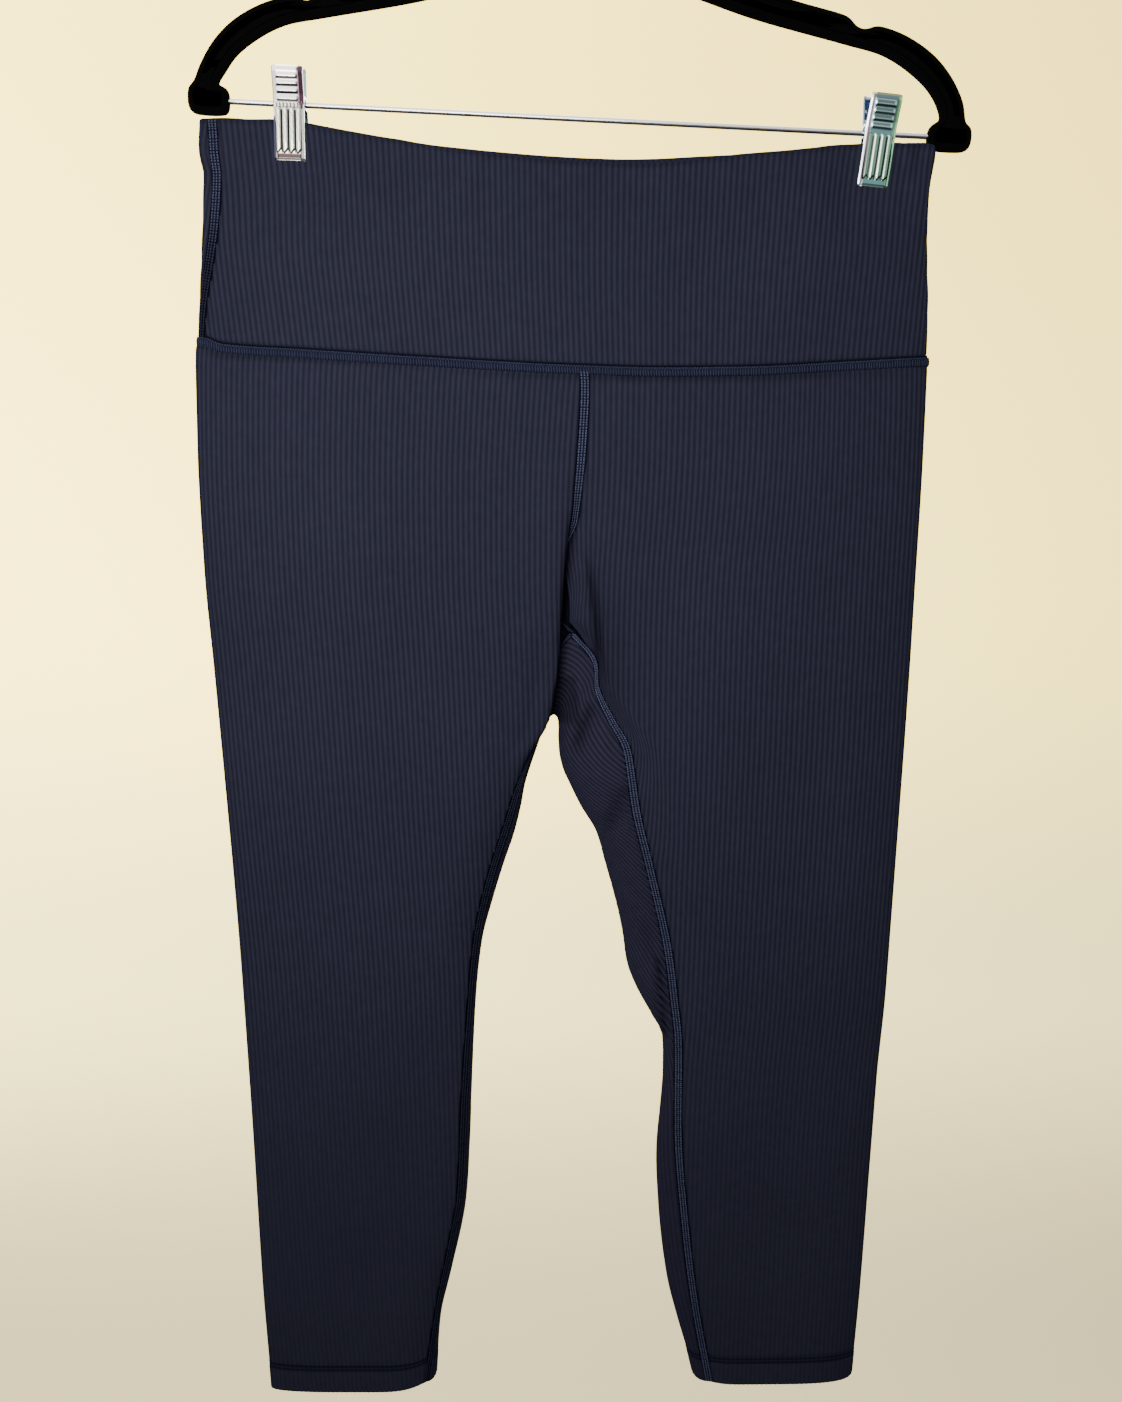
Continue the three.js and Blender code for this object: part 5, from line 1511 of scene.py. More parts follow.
def catmull(pts, closed, step):
    """A smooth curve through points, sampled about every step."""
    pts = np.asarray(pts, float)
    n = len(pts)
    out = []
    for i in range(n if closed else n - 1):
        p = [pts[(i + k) % n] if closed else pts[min(max(i + k, 0), n - 1)] for k in (-1, 0, 1, 2)]
        d = [max(np.linalg.norm(p[k + 1] - p[k]), 1e-6) ** 0.5 for k in range(3)]
        m1 = (p[1] - p[0]) / d[0] - (p[2] - p[0]) / (d[0] + d[1]) + (p[2] - p[1]) / d[1]
        m2 = (p[2] - p[1]) / d[1] - (p[3] - p[1]) / (d[1] + d[2]) + (p[3] - p[2]) / d[2]
        m1, m2 = m1 * d[1], m2 * d[1]
        k = max(1, int(round(np.linalg.norm(p[2] - p[1]) / step)))
        for t in np.arange(k) / k:
            out.append(p[1] * (2 * t ** 3 - 3 * t ** 2 + 1) + m1 * (t ** 3 - 2 * t ** 2 + t) + p[2] * (-2 * t ** 3 + 3 * t ** 2) + m2 * (t ** 3 - t ** 2))
    if not closed:
        out.append(pts[-1])
    return np.array(out)


def tube(path, radius, sides, cap=True):
    """A round tube along a path of points in the x-z plane or in space; returns verts and faces."""
    path = np.asarray(path, float)
    radius = np.broadcast_to(np.asarray(radius, float), (len(path),))
    tan = norm(np.gradient(path, axis=0))
    ref = np.array([0.0, 1.0, 0.0]) if abs(tan[0] @ np.array([0, 1.0, 0])) < 0.9 else np.array([1.0, 0, 0])
    u = ref - tan[0] * (ref @ tan[0])
    u = u / np.linalg.norm(u)
    verts = []
    for i in range(len(path)):
        u = u - tan[i] * (u @ tan[i])
        u = u / np.linalg.norm(u)
        v = np.cross(tan[i], u)
        a = np.arange(sides) / sides * 2 * math.pi
        verts.append(path[i] + radius[i] * (np.cos(a)[:, None] * u + np.sin(a)[:, None] * v))
    verts = np.concatenate(verts)
    faces = []
    for i in range(len(path) - 1):
        for j in range(sides):
            k = (j + 1) % sides
            faces.append([i * sides + j, i * sides + k, (i + 1) * sides + k, (i + 1) * sides + j])
    if cap:
        faces.append(list(range(sides))[::-1])
        faces.append([(len(path) - 1) * sides + j for j in range(sides)])
    return verts, faces


def round_end(path, radius, k=5):
    """Radii that close a tube's two ends to a dome, with the path's ends made longer by the dome's points."""
    path = np.asarray(path, float)
    a, b = norm(path[0] - path[1]), norm(path[-1] - path[-2])
    ang = np.linspace(0, math.pi / 2 * 0.94, k + 1)[1:]
    head = path[0] + a * (np.sin(ang) * radius)[::-1, None]
    tail = path[-1] + b * (np.sin(ang) * radius)[:, None]
    return np.concatenate([head, path, tail]), np.concatenate([(np.cos(ang) * radius)[::-1], np.full(len(path), radius), np.cos(ang) * radius])


def velvet_material(name):
    """Black flock: a dense short pile with a soft sheen and rubbed, uneven nap."""
    n = Nodes(name)
    co = n.new("ShaderNodeTexCoord").outputs["Object"]
    pile = n.noise(co, 2600.0, 3.0, 0.7)
    nap = n.noise(co, 70.0, 4.0, 0.6)
    n.link(n.blend(n.math("MULTIPLY", n.math("ADD", pile, nap), 0.5), srgb(3, 3, 3), srgb(14, 14, 15)), n.bsdf.inputs["Base Color"])
    n.link(n.math("ADD", 0.86, n.math("MULTIPLY", nap, 0.12)), n.bsdf.inputs["Roughness"])
    h = n.math("ADD", n.math("MULTIPLY", pile, 0.6), n.math("MULTIPLY", nap, 0.5))
    n.link(n.bump(h, 0.8, 0.0006), n.bsdf.inputs["Normal"])
    n.set(Specular_IOR_Level=0.0, Sheen_Weight=0.03, Sheen_Roughness=0.6, Sheen_Tint=(0.5, 0.5, 0.52, 1.0))
    return n.m


def metal_material(name, base, tint_a, tint_b, rough=0.16, drift=0.35, seed=0.0, painted=False):
    """Bright zinc plating: fine polishing marks, slight waviness and a passivation tint that drifts over the sheet."""
    n = Nodes(name)
    tc = n.new("ShaderNodeTexCoord").outputs["Object"]
    mp = n.new("ShaderNodeMapping")
    mp.inputs["Location"].default_value = (seed, seed * 0.7, seed * 1.3)
    n.link(tc, mp.inputs["Vector"])
    co = mp.outputs[0]
    drift_n = n.noise(co, 85.0, 2.0, 0.5)
    second = n.noise(co, 42.0, 2.0, 0.5)
    st = n.new("ShaderNodeMapping")
    st.inputs["Scale"].default_value = (1.0, 1.0, 0.03)
    n.link(co, st.inputs["Vector"])
    marks = n.noise(st.outputs[0], 2500.0, 2.0, 0.6)
    tint = n.blend(drift_n, tint_a, tint_b)
    f = n.math("MULTIPLY", second, drift * 2.0, clamp=True)
    colour = n.blend(f, base, tint)
    if painted:
        # the points' 'tint' colours, where painted: the plating's tints with painted shadows, shade and highlights
        at = n.new("ShaderNodeAttribute", attribute_name="tint")
        colour = n.blend(1.0, colour, at.outputs["Color"], "MULTIPLY")
    n.link(colour, n.bsdf.inputs["Base Color"])
    n.link(n.math("ADD", rough, n.math("MULTIPLY", marks, 0.12)), n.bsdf.inputs["Roughness"])
    wavy = n.noise(co, 260.0, 2.0, 0.5)
    h = n.math("ADD", n.math("MULTIPLY", marks, 0.15), wavy)
    n.link(n.bump(h, 0.25, 0.0002), n.bsdf.inputs["Normal"])
    n.set(Metallic=1.0)
    return n.m


velvet = velvet_material("flocked_velvet_black")
wire_metal = metal_material("wire_bright", srgb(208, 208, 206), srgb(196, 200, 206), srgb(214, 206, 196), 0.17, 0.3)
clip_metals = {
    "clip_right_front": metal_material("clip_plate_bright", srgb(244, 244, 242), srgb(250, 246, 240), srgb(226, 222, 220), 0.18, 0.30, 1.0, True),
    "clip_right_back": metal_material("clip_plate_rear", srgb(244, 248, 244), srgb(232, 248, 238), srgb(220, 232, 226), 0.18, 0.40, 3.0, True),
    "clip_left_front": metal_material("clip_plate_green", srgb(236, 244, 244), srgb(226, 250, 236), srgb(214, 226, 240), 0.18, 0.40, 2.0, True),
    "clip_left_back": metal_material("clip_plate_blue", srgb(236, 242, 250), srgb(206, 224, 250), srgb(226, 246, 246), 0.20, 0.40, 4.0, True),
}

# the flat flocked body: its outline run round smoothly, its edges rolled over
half = np.stack([HALF_OUTLINE["x"], HALF_OUTLINE["z"]], 1)
FOOT = {(219.5, 8.0): (219.2, 7.0), (223.0, 6.5): (222.3, 5.7), (223.5, -5.6): (222.8, -5.2), (221.5, -7.2): (221.0, -6.9), (200.8, -7.2): (201.6, -6.9),
        (199.0, -5.6): (200.2, -5.4), (199.0, 5.5): (200.2, 4.2), (200.5, 7.0): (201.2, 5.8), (204.0, 8.5): (204.8, 7.2)}
FOOT_LEFT = {**FOOT, (219.5, 8.0): (220.2, 8.5), (223.0, 6.5): (222.7, 7.0), (200.5, 7.0): (201.2, 6.9), (199.0, 5.5): (200.2, 5.4), (204.0, 8.5): (206.2, 8.4)}
FOOT_RIGHT = {**FOOT, (200.8, -7.2): (200.0, -6.9), (199.0, -5.6): (198.2, -5.4), (199.0, 5.5): (198.2, 4.4), (200.5, 7.0): (199.4, 6.4), (204.0, 8.5): (204.0, 8.2)}
right_half = np.array([FOOT_RIGHT.get((float(a), float(b)), (a, b)) for a, b in half])
left_half = np.array([FOOT_LEFT.get((float(a), float(b)), (a, b)) for a, b in half])
outline = catmull(np.concatenate([right_half, left_half[::-1] * np.array([-1, 1])]), True, 2.0)
for _ in range(2):
    outline = 0.25 * np.roll(outline, 1, 0) + 0.5 * outline + 0.25 * np.roll(outline, -1, 0)
area = 0.5 * np.sum(outline[:, 0] * np.roll(outline[:, 1], -1) - np.roll(outline[:, 0], -1) * outline[:, 1])
if area < 0:
    outline = outline[::-1]
tan = np.roll(outline, -1, 0) - np.roll(outline, 1, 0)
inward = norm(np.stack([-tan[:, 1], tan[:, 0]], 1))
for _ in range(3):
    inward = norm(0.25 * np.roll(inward, 1, 0) + 0.5 * inward + 0.25 * np.roll(inward, -1, 0))
n_out = len(outline)
HALF_THICK, ROLL = 3.5, 3.0
ring_specs = []
for face in (-1, 1):
    seq = []
    for k in range(7):
        a = math.pi / 2 * k / 6
        seq.append((ROLL * (1 - math.cos(a)), face * (HALF_THICK - ROLL + ROLL * math.sin(a))))
    seq.append((ROLL + 0.7, face * HALF_THICK))
    ring_specs.append(seq)
order_rings = ring_specs[0][::-1] + ring_specs[1]
verts, faces = [], []
for d, y in order_rings:
    p = outline + inward * d
    verts.append(np.stack([p[:, 0], np.full(n_out, y), p[:, 1]], 1))
verts = np.concatenate(verts)
for r in range(len(order_rings) - 1):
    for j in range(n_out):
        k = (j + 1) % n_out
        faces.append([r * n_out + j, r * n_out + k, (r + 1) * n_out + k, (r + 1) * n_out + j])
flat = outline + inward * order_rings[0][0]
tris = tessellate_polygon([[(float(a), float(b), 0.0) for a, b in flat]])
top0 = (len(order_rings) - 1) * n_out
for t in tris:
    a, b, c = [flat[v] for v in t]
    turn = (b[0] - a[0]) * (c[1] - a[1]) - (b[1] - a[1]) * (c[0] - a[0])
    if turn < 0:
        t = t[::-1]
    faces.append([t[0], t[1], t[2]])                       # front face looks to -y
    faces.append([top0 + t[2], top0 + t[1], top0 + t[0]])
body_obj = make_object("hanger_flocked_body", hang(verts), faces, [velvet])

# wire hook, bar and clips
R = HOOK_INNER + HOOK_RADIUS
cz = HANGER_RISE - HOOK_INNER
hook_pts = [(0, 112.3), (0, 128), (0, 146), (0.6, 158), (5.5, 170), (14.5, 180.5)] + [
    (R * math.cos(math.radians(-38 + k * 20.5)), cz + R * math.sin(math.radians(-38 + k * 20.5))) for k in range(13)]
path = catmull([(x, 0.0, z) for x, z in hook_pts], False, 1.6)
path, rad = round_end(path[1:-2], HOOK_RADIUS)
v, f = tube(path, rad, 20)
hook_obj = make_object("hanger_wire_hook", hang(v), f, [wire_metal])

xs = np.linspace(-201.5, 201.5, 60)                       # its ends sit in the feet
path, rad = round_end(np.stack([xs, 0 * xs, 0 * xs], 1), BAR_RADIUS - 0.04, 3)
v, f = tube(path, rad, 24)
bar_obj = make_object("trouser_wire_bar", hang(v), f, [wire_metal])


CLIP_HALF, CLIP_LOW = 8.7, -30.6
LOUVRES = (11.6, 7.9, 4.4, 0.7)
FLUTES = (-5.7, -1.9, 1.9, 5.7)


def clip_profile(face, z):
    ys = [p[0] for p in CLIP_TOP[face]] + list(CLIP_SIDE["y"])
    zs = [p[1] for p in CLIP_TOP[face]] + list(CLIP_SIDE["z"])
    return np.interp(z, zs[::-1], ys[::-1])


def clip_relief(x, z, top, soft=False):
    """Height pressed out of a clip's sheet: turned-back edges, four louvres over the bar and four flutes under it."""
    h = -1.15 * smooth(5.9, 8.7, np.abs(x)) ** 1.15 - 1.1 * smooth(top - 3.0, top, z) - 0.55 * smooth(CLIP_LOW + 1.3, CLIP_LOW, z)
    for c in LOUVRES:
        v = z - c
        ridge = np.where(v > 0, smooth(2.6, 0.15, v) ** 1.2, smooth(-1.7 if soft else -0.45, -0.12, v))
        ends = smooth(5.9, 4.7, x) * smooth(-6.4, -5.2, x)
        h = h + (0.30 if soft else 0.90) * ridge * ends
    for c in FLUTES:
        wide = 1.62 * np.clip((z + 27.4) / 2.6, 0.02, 1.0)
        v = (x - c + 0.9 * (1 - np.clip((z + 27.4) / 2.6, 0, 1))) / wide
        tip = np.clip((-3.0 - z) / 1.7, 0, 1)
        round_top = np.sqrt(np.clip(1 - (1 - tip) ** 2, 0, 1))
        h = h + 0.95 * np.sqrt(np.clip(1 - v * v, 0, 1)) * round_top * smooth(-27.6, -26.2, z)
    return h


def clip_tint_and_painted_light(which, x, z, h, top):
    """The plating's tints over a clip's outer face, with painted shadows under the louvres, painted shade between the
    flutes and along an edge, and painted highlights along edges; linear colours.
    """
    def c(r, g, b):
        return np.array(srgb(r, g, b)[:3])

    def over(a, b, f):
        return a * (1 - f[..., None]) + b * f[..., None]
    low = smooth(-26.4, -27.6, z)
    flute = np.zeros(x.shape)
    for k in FLUTES:
        flute = np.maximum(flute, smooth(1.45, 1.0, np.abs(x - k)) * smooth(-2.6, -4.2, z) * (1 - low))
    louvre, shadow = np.zeros(x.shape), np.zeros(x.shape)
    span = smooth(6.3, 5.3, x) * smooth(-6.8, -5.8, x)
    for k in LOUVRES:
        louvre = np.maximum(louvre, smooth(2.4, 1.4, z - k) * smooth(-0.3, 0.1, z - k) * span)
        shadow = np.maximum(shadow, smooth(-1.5, -1.0, z - k) * smooth(0.0, -0.3, z - k) * span)
    wisp = 0.5 + 0.5 * np.sin(3.1 * x + 1.7 * np.sin(0.9 * z) + 0.6 * z)
    if which == "clip_right_front":
        t = np.ones(x.shape + (3,)) * c(236, 236, 234)
        t = over(t, c(50, 34, 36), smooth(-0.2, -1.2, z) * smooth(-4.4, -3.4, z) * (0.50 + 0.50 * wisp) * smooth(-7.6, -6.4, x))
        t = over(t, c(92, 70, 84), smooth(4.8, 5.8, x) * smooth(-3.0, -1.0, z) * smooth(top - 0.6, top - 1.8, z - 0.5 * (x - 5)))
        # painted shade between the flutes
        t = over(t, c(34, 36, 34), smooth(-3.6, -5.0, z) * (1 - low) * (1 - flute) * smooth(7.6, 6.8, np.abs(x)))
        t = over(t, c(186, 190, 176), flute * (0.3 + 0.7 * wisp))
        t = over(t, c(48, 37, 38), low * smooth(CLIP_LOW + 0.7, CLIP_LOW + 1.3, z) * smooth(7.4, 6.6, np.abs(x)))
        t = over(t, c(60, 60, 82), smooth(-6.8, -7.8, x) * smooth(-6, -9, z))
        # painted shade along the left edge
        t = over(t, c(70, 66, 62), smooth(-8.1, -8.5, x) * smooth(-6, -3, z))
        t = over(t, c(206, 218, 204), smooth(7.6, 8.3, x) * smooth(-0.5, -2, z))
        t = over(t, c(44, 44, 42), shadow)
    elif which == "clip_left_front":
        t = np.ones(x.shape + (3,)) * c(92, 108, 116)
        t = over(t, c(104, 138, 140), smooth(0.5, -1.5, z) * smooth(-5.5, -3.5, z))
        # painted highlights along the louvres' edges
        lines = np.zeros(x.shape)
        for k in LOUVRES:
            lines = np.maximum(lines, (bump(z - k, 2.25, 0.26) + 0.85 * bump(z - k, 0.25, 0.24)) * span)
            lines = np.maximum(lines, louvre * smooth(4.6, 5.4, np.abs(x + 0.3)))
        t = over(t, c(84, 112, 112), louvre * 0.7)
        t = over(t, c(58, 76, 80), shadow * 0.8)
        t = over(t, c(214, 234, 228), np.clip(lines, 0, 1) * 0.85)
        # painted shade between the flutes
        t = over(t, c(64, 78, 74), smooth(-3.6, -5.0, z) * (1 - low) * (1 - flute))
        t = over(t, c(112, 140, 120), flute)
        # painted highlight on each flute's left edge, and painted shade beside it
        for k, strong in zip(FLUTES, (0.35, 1.0, 1.0, 0.45)):
            edge = bump(x, k - 1.05, 0.30) * smooth(-2.6, -3.6, z) * (1 - low)
            t = over(t, c(240, 246, 242), np.clip(edge * 1.2, 0, 1) * strong)
            t = over(t, c(56, 56, 50), np.clip(bump(x, k - 1.75, 0.28) * 1.2, 0, 1) * smooth(-3.6, -5.0, z) * (1 - low) * 0.8)
        t = over(t, c(104, 150, 148), low * smooth(CLIP_LOW + 0.6, CLIP_LOW + 1.3, z))
        # painted highlight on the lip's lower edge
        t = over(t, c(232, 244, 240), low * smooth(CLIP_LOW + 1.2, CLIP_LOW + 0.5, z))
        t = over(t, c(112, 170, 120), smooth(5.9, 7.0, x))
        # painted highlight near the right edge
        t = over(t, c(182, 226, 184), smooth(7.2, 7.8, x) * smooth(8.6, 8.1, x))
        t = over(t, c(84, 74, 82), smooth(-6.0, -6.5, x) * smooth(CLIP_LOW + 0.8, CLIP_LOW + 1.6, z))
        # painted highlight along the left edge
        t = over(t, c(250, 250, 250), smooth(-7.6, -8.0, x))
        t = over(t, c(150, 150, 112), smooth(top - 1.4, top - 0.6, z))
    elif which == "clip_right_back":
        t = np.ones(x.shape + (3,)) * c(178, 206, 186)
        t = over(t, c(120, 132, 120), smooth(7.6, 8.4, np.abs(x)) * 0.6)
    else:
        t = np.ones(x.shape + (3,)) * c(42, 60, 96)
        dots = np.zeros(x.shape)
        for cx, cz in ((-6.6, 12.0), (-6.9, 6.6)):
            dots = np.maximum(dots, smooth(1.1, 0.7, np.hypot(x - cx, z - cz)))
        t = over(t, c(236, 244, 252), dots)
        # painted highlights along the side edges and the top
        t = over(t, c(226, 240, 248), smooth(7.3, 7.8, np.abs(x)))
        t = over(t, c(226, 240, 248), smooth(top - 1.9, top - 1.2, z))
    return t


def clip_plate(which, f):
    face = "front" if f < 0 else "back"
    top = CLIP_TOP[face][0][1]
    nx, nz = 57, 150
    x = np.linspace(-CLIP_HALF, CLIP_HALF, nx)
    z = np.linspace(CLIP_LOW, top, nz)
    X, Z = np.meshgrid(x, z)
    relief = clip_relief(X, Z, top, which == "clip_left_front")
    y = clip_profile(face, Z) + np.minimum(relief, 0.95)
    for_front = np.stack([X, f * y, Z], -1)
    for_back = np.stack([X, f * (y - 0.75), Z], -1)
    verts = np.concatenate([for_front.reshape(-1, 3), for_back.reshape(-1, 3)])
    tint = clip_tint_and_painted_light(which, X, Z, relief, top).reshape(-1, 3)
    inner = tint * 0 + (clip_tint_and_painted_light(which, X, Z, relief, top).reshape(-1, 3) if face == "back" else np.array(srgb(190, 194, 192)[:3]))
    if face == "back":                                     # a rear plate shows its inner face to the front
        tint, inner = inner * 0 + np.array(srgb(190, 194, 192)[:3]), inner
    tint = np.concatenate([tint, inner])
    g = grid_faces(nz, nx)
    faces = g.tolist() + (g + nz * nx)[:, ::-1].tolist()
    rim = [(0, j) for j in range(nx)] + [(i, nx - 1) for i in range(1, nz)] + [(nz - 1, j) for j in range(nx - 2, -1, -1)] + [(i, 0) for i in range(nz - 2, 0, -1)]
    ids = [i * nx + j for i, j in rim]
    for a, b in zip(ids, ids[1:] + ids[:1]):
        faces.append([a, a + nz * nx, b + nz * nx, b])
    # the two ears that hold the spring
    ear = np.array([(4.9, 3.6), (4.7, -3.6), (-1.0, -3.4), (-3.3, -1.2), (-3.3, 1.6), (-1.2, 3.4)])
    base = len(verts)
    sides = 36
    extra = []
    for d in (-1, 1):
        x0 = d * (6.9 if which.endswith("front") else 8.2)
        ang = np.arange(sides) / sides * 2 * math.pi
        outer = []
        for a in ang:
            dx = np.array([math.cos(a), math.sin(a)])
            best = 0.0
            for k in range(6):
                p, q = ear[k], ear[(k + 1) % 6]
                m = np.array([dx, p - q]).T
                if abs(np.linalg.det(m)) < 1e-9:
                    continue
                t, s = np.linalg.solve(m, p)
                if t > 0 and -1e-9 <= s <= 1 + 1e-9:
                    best = max(best, t)
            outer.append(dx * best)
        outer = np.array(outer)
        hole = np.stack([np.cos(ang), np.sin(ang)], 1) * 2.3
        for xx in (x0 - 0.4, x0 + 0.4):
            for loop in (hole, outer):
                extra.append(np.stack([np.full(sides, xx), f * loop[:, 0], loop[:, 1]], 1))
    extra = np.concatenate(extra)
    for e in range(2):
        b0 = base + e * 4 * sides
        i0, o0, i1, o1 = b0, b0 + sides, b0 + 2 * sides, b0 + 3 * sides
        for j in range(sides):
            k = (j + 1) % sides
            faces += [[i0 + j, i0 + k, o0 + k, o0 + j], [i1 + j, o1 + j, o1 + k, i1 + k], [o0 + j, o0 + k, o1 + k, o1 + j], [i0 + j, i1 + j, i1 + k, i0 + k]]
    verts = np.concatenate([verts, extra])
    tint = np.concatenate([tint, np.full((len(extra), 3), 0.6)])
    go = clip_place(which.rsplit("_", 1)[0], BACK_TWIST if face == "back" else 0.0, True)
    if f < 0:
        faces = [q[::-1] for q in faces]
    ob = make_object(which + "_plate", go(verts), faces, [clip_metals[which]], tint=tint)
    md = ob.modifiers.new("edges", "EDGE_SPLIT")
    md.split_angle = math.radians(50)
    return ob


clip_objects = {}
for name in CLIPS:
    for part, f in (("front", -1.0), ("back", 1.0)):
        clip_objects[name + "_" + part] = clip_plate(name + "_" + part, f)
    # coil spring round the bar, its two legs pressing the plates apart above it
    turns = 8
    a = np.linspace(0, turns * 2 * math.pi, turns * 22)
    coil = np.stack([-4.6 + 9.2 * a / a[-1], 2.55 * np.cos(a + math.pi), 2.55 * np.sin(a + math.pi)], 1)
    leg_a = [coil[0] + np.array([0, -1.9 * k / 4, 11.0 * k / 4]) for k in range(4, 0, -1)]
    leg_b = [coil[-1] + np.array([0, 1.0 * k / 4 + 5.1 * min(k, 1), 11.0 * k / 4]) for k in range(1, 5)]
    p = np.concatenate([[q] for q in leg_a] + [coil])
    p, rad = round_end(p, 0.5, 2)
    v, f2 = tube(p, rad, 10)
    clip_objects[name + "_spring"] = make_object(name + "_coil", clip_place(name)(v), f2, [wire_metal])


# ---------------------------------------------------------------- what each piece stands for, rides on and is cut to
stands = {
    "waistband_front": (band_objects["front"], "rib_knit"), "waistband_back": (band_objects["back"], "rib_knit"),
    "leg_right": (leg_objects["right"], "rib_knit"), "leg_left": (leg_objects["left"], "rib_knit"), "gusset": (gusset_object, "rib_knit"),
    "hanger_body": (body_obj, "velvet"), "hanger_hook": (hook_obj, "chrome"), "trouser_bar": (bar_obj, "chrome"),
}
for name in CLIPS:
    for part in ("front", "back", "spring"):
        stands[name + "_" + part] = (clip_objects[name + "_" + part], "chrome")
for node, (piece, slot) in stands.items():
    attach(piece, "root")
    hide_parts(node)
for piece in list(seam_objects.values()) + list(hem_objects.values()):
    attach(piece, "root")


def cut_area(ob):
    return sum(p.area for p in ob.data.polygons)


CUT = {  # width and length each piece is cut to, metres
    "waistband_front": (0.462, 0.244), "waistband_back": (0.440, 0.244), "leg_right": (0.470, 0.772), "leg_left": (0.460, 0.765), "gusset": (0.100, 1.210),
}
for node, flat_size in CUT.items():
    piece = stands[node][0]
    a = cut_area(piece)


# ---------------------------------------------------------------- floor, backdrop and light
def studio_material():
    """Warm white, lit evenly by its own glow, a painted light that is a little darker towards the floor and brighter
    towards -x.
    """
    n = Nodes("studio_cream")
    co = n.new("ShaderNodeTexCoord").outputs["Object"]
    soft = n.noise(co, 1.3, 2.0, 0.5)
    n.link(n.blend(soft, srgb(231, 222, 194), srgb(236, 228, 200)), n.bsdf.inputs["Base Color"])
    sep = n.new("ShaderNodeSeparateXYZ")
    n.link(co, sep.inputs[0])
    ramp = n.new("ShaderNodeValToRGB")
    rise = n.new("ShaderNodeMapRange")
    rise.inputs[1].default_value, rise.inputs[2].default_value = GLOW_LOW, GLOW_HIGH
    n.link(n.math("ADD", sep.outputs[2], n.math("MULTIPLY", sep.outputs[1], 0.5)), rise.inputs[0])
    n.link(rise.outputs[0], ramp.inputs[0])
    ramp.color_ramp.interpolation = "EASE"
    stops = ramp.color_ramp.elements
    while len(stops) < len(GLOW):
        stops.new(0.5)
    for stop, (at, colour) in zip(stops, GLOW):
        stop.position, stop.color = at, colour
    n.link(ramp.outputs[0], n.bsdf.inputs["Emission Color"])
    across = n.new("ShaderNodeMapRange")
    across.inputs[1].default_value, across.inputs[2].default_value = -2.0, 2.0
    across.inputs[3].default_value, across.inputs[4].default_value = 8.2, 3.8
    n.link(sep.outputs[0], across.inputs[0])
    n.link(across.outputs[0], n.bsdf.inputs["Emission Strength"])
    n.set(Roughness=0.95, Specular_IOR_Level=0.0)
    return n.m


GLOW_LOW, GLOW_HIGH = -3.2, 2.6
GLOW = [(0.0, (0.165, 0.138, 0.062, 1.0)), (0.27, (0.165, 0.138, 0.062, 1.0)), (0.414, (0.50, 0.415, 0.155, 1.0)), (0.64, (0.86, 0.66, 0.16, 1.0)), (0.99, (0.76, 0.57, 0.12, 1.0))]
FLOOR, WALL, CURVE, TOP = -2.15, 3.1, 1.3, 3.4
prof = [(0.02, FLOOR)] + [(r, FLOOR) for r in np.linspace(0.25, WALL - CURVE, 10)] + [
    (WALL - CURVE + CURVE * math.sin(a), FLOOR + CURVE * (1 - math.cos(a))) for a in np.linspace(0, math.pi / 2, 18)[1:]] + [(WALL, z) for z in np.linspace(FLOOR + CURVE, TOP, 12)[1:]]
around = 96
verts = np.array([(r * math.cos(2 * math.pi * k / around), r * math.sin(2 * math.pi * k / around), z) for r, z in prof for k in range(around)])
faces = []
for i in range(len(prof) - 1):
    for k in range(around):
        m = (k + 1) % around
        faces.append([i * around + k, i * around + m, (i + 1) * around + m, (i + 1) * around + k])
faces.append(list(range(around))[::-1])
studio = make_object("studio_floor", verts, faces, [studio_material()])
studio.visible_diffuse = False
studio.visible_glossy = False
studio.visible_shadow = False

world = bpy.data.worlds.new("studio_world")
bpy.context.scene.world = world
world.use_nodes = True
bg = next(n for n in world.node_tree.nodes if n.type == "BACKGROUND")
bg.inputs[0].default_value = (1.0, 0.965, 0.90, 1.0)
bg.inputs[1].default_value = 0.13


def area_light(name, location, target, size, power, colour, size_y=None):
    data = bpy.data.lights.new(name, "AREA")
    data.energy, data.color, data.size = power, colour, size
    if size_y:
        data.shape, data.size_y = "RECTANGLE", size_y
    ob = bpy.data.objects.new(name, data)
    bpy.context.scene.collection.objects.link(ob)
    ob.location = location
    d = np.array(target, float) - np.array(location, float)
    from mathutils import Vector
    ob.rotation_euler = Vector(d.tolist()).to_track_quat("-Z", "Y").to_euler()
    return ob


area_light("key_soft", (-0.24, -0.78, -0.28), (-0.05, 0.0, -0.46), 0.5, 8.3, (1.0, 0.975, 0.94))
area_light("side_soft", (1.3, -0.9, 0.1), (0.0, 0.0, -0.5), 0.9, 1.4, (0.96, 0.98, 1.0))
area_light("back_soft", (0.3, 1.7, 0.7), (0.0, 0.0, -0.5), 1.2, 42.0, (1.0, 0.97, 0.92))
area_light("fold_soft_right", (-1.5, 0.55, -0.2), (0.0, 0.0, -0.5), 0.8, 6.0, (1.0, 0.97, 0.93))
area_light("fold_soft_left", (1.5, 0.55, -0.2), (0.0, 0.0, -0.5), 0.8, 6.0, (1.0, 0.97, 0.93))


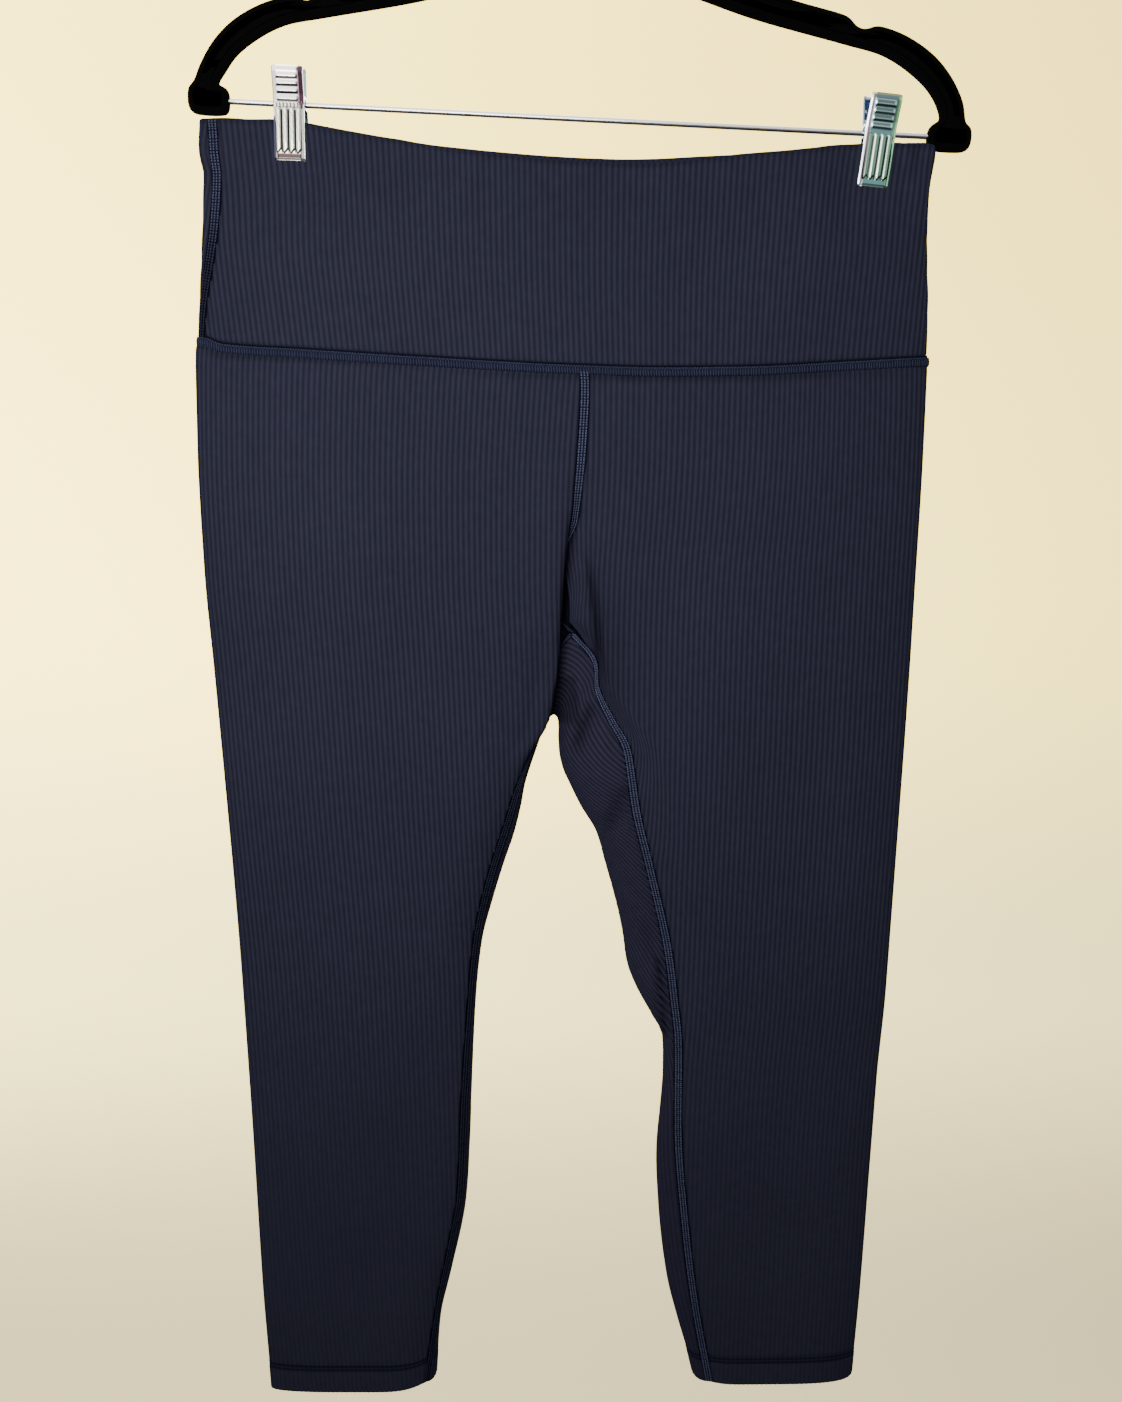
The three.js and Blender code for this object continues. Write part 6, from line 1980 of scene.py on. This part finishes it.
def reflector_material():
    """What the metal mirrors: bright above and to the left, dark slate below and to the right."""
    n = Nodes("studio_reflector")
    sep = n.new("ShaderNodeSeparateXYZ")
    n.link(n.new("ShaderNodeTexCoord").outputs["Object"], sep.inputs[0])
    ramp = n.new("ShaderNodeValToRGB")
    rise = n.new("ShaderNodeMapRange")
    rise.inputs[1].default_value, rise.inputs[2].default_value = -3.0, 2.0
    n.link(sep.outputs[2], rise.inputs[0])
    n.link(rise.outputs[0], ramp.inputs[0])
    stops = ramp.color_ramp.elements
    steps = [(0.0, (0.05, 0.05, 0.055, 1.0)), (0.42, (0.07, 0.075, 0.08, 1.0)), (0.50, (0.34, 0.35, 0.35, 1.0)), (0.62, (0.62, 0.61, 0.58, 1.0)), (0.80, (1.0, 0.98, 0.94, 1.0))]
    while len(stops) < len(steps):
        stops.new(0.5)
    for stop, (at, colour) in zip(stops, steps):
        stop.position, stop.color = at, colour
    n.link(ramp.outputs[0], n.bsdf.inputs["Emission Color"])
    across = n.new("ShaderNodeMapRange", interpolation_type="SMOOTHSTEP")
    across.inputs[1].default_value, across.inputs[2].default_value = -1.2, 1.2
    across.inputs[3].default_value, across.inputs[4].default_value = 4.0, 1.5
    n.link(sep.outputs[0], across.inputs[0])
    n.link(across.outputs[0], n.bsdf.inputs["Emission Strength"])
    n.bsdf.inputs["Base Color"].default_value = (0.0, 0.0, 0.0, 1.0)
    n.set(Roughness=1.0, Specular_IOR_Level=0.0)
    return n.m


rv, rf = [], []
for i in range(25):
    for k in range(48):
        a, b = math.pi * (i + 0.02) / 24.05, 2 * math.pi * k / 48
        rv.append((2.7 * math.sin(a) * math.cos(b), 2.7 * math.sin(a) * math.sin(b), -0.5 + 2.7 * math.cos(a)))
for i in range(24):
    for k in range(48):
        m = (k + 1) % 48
        rf.append([i * 48 + k, i * 48 + m, (i + 1) * 48 + m, (i + 1) * 48 + k])
reflector = make_object("studio_reflector", np.array(rv), rf, [reflector_material()])
reflector.visible_camera = reflector.visible_diffuse = reflector.visible_shadow = reflector.visible_transmission = False
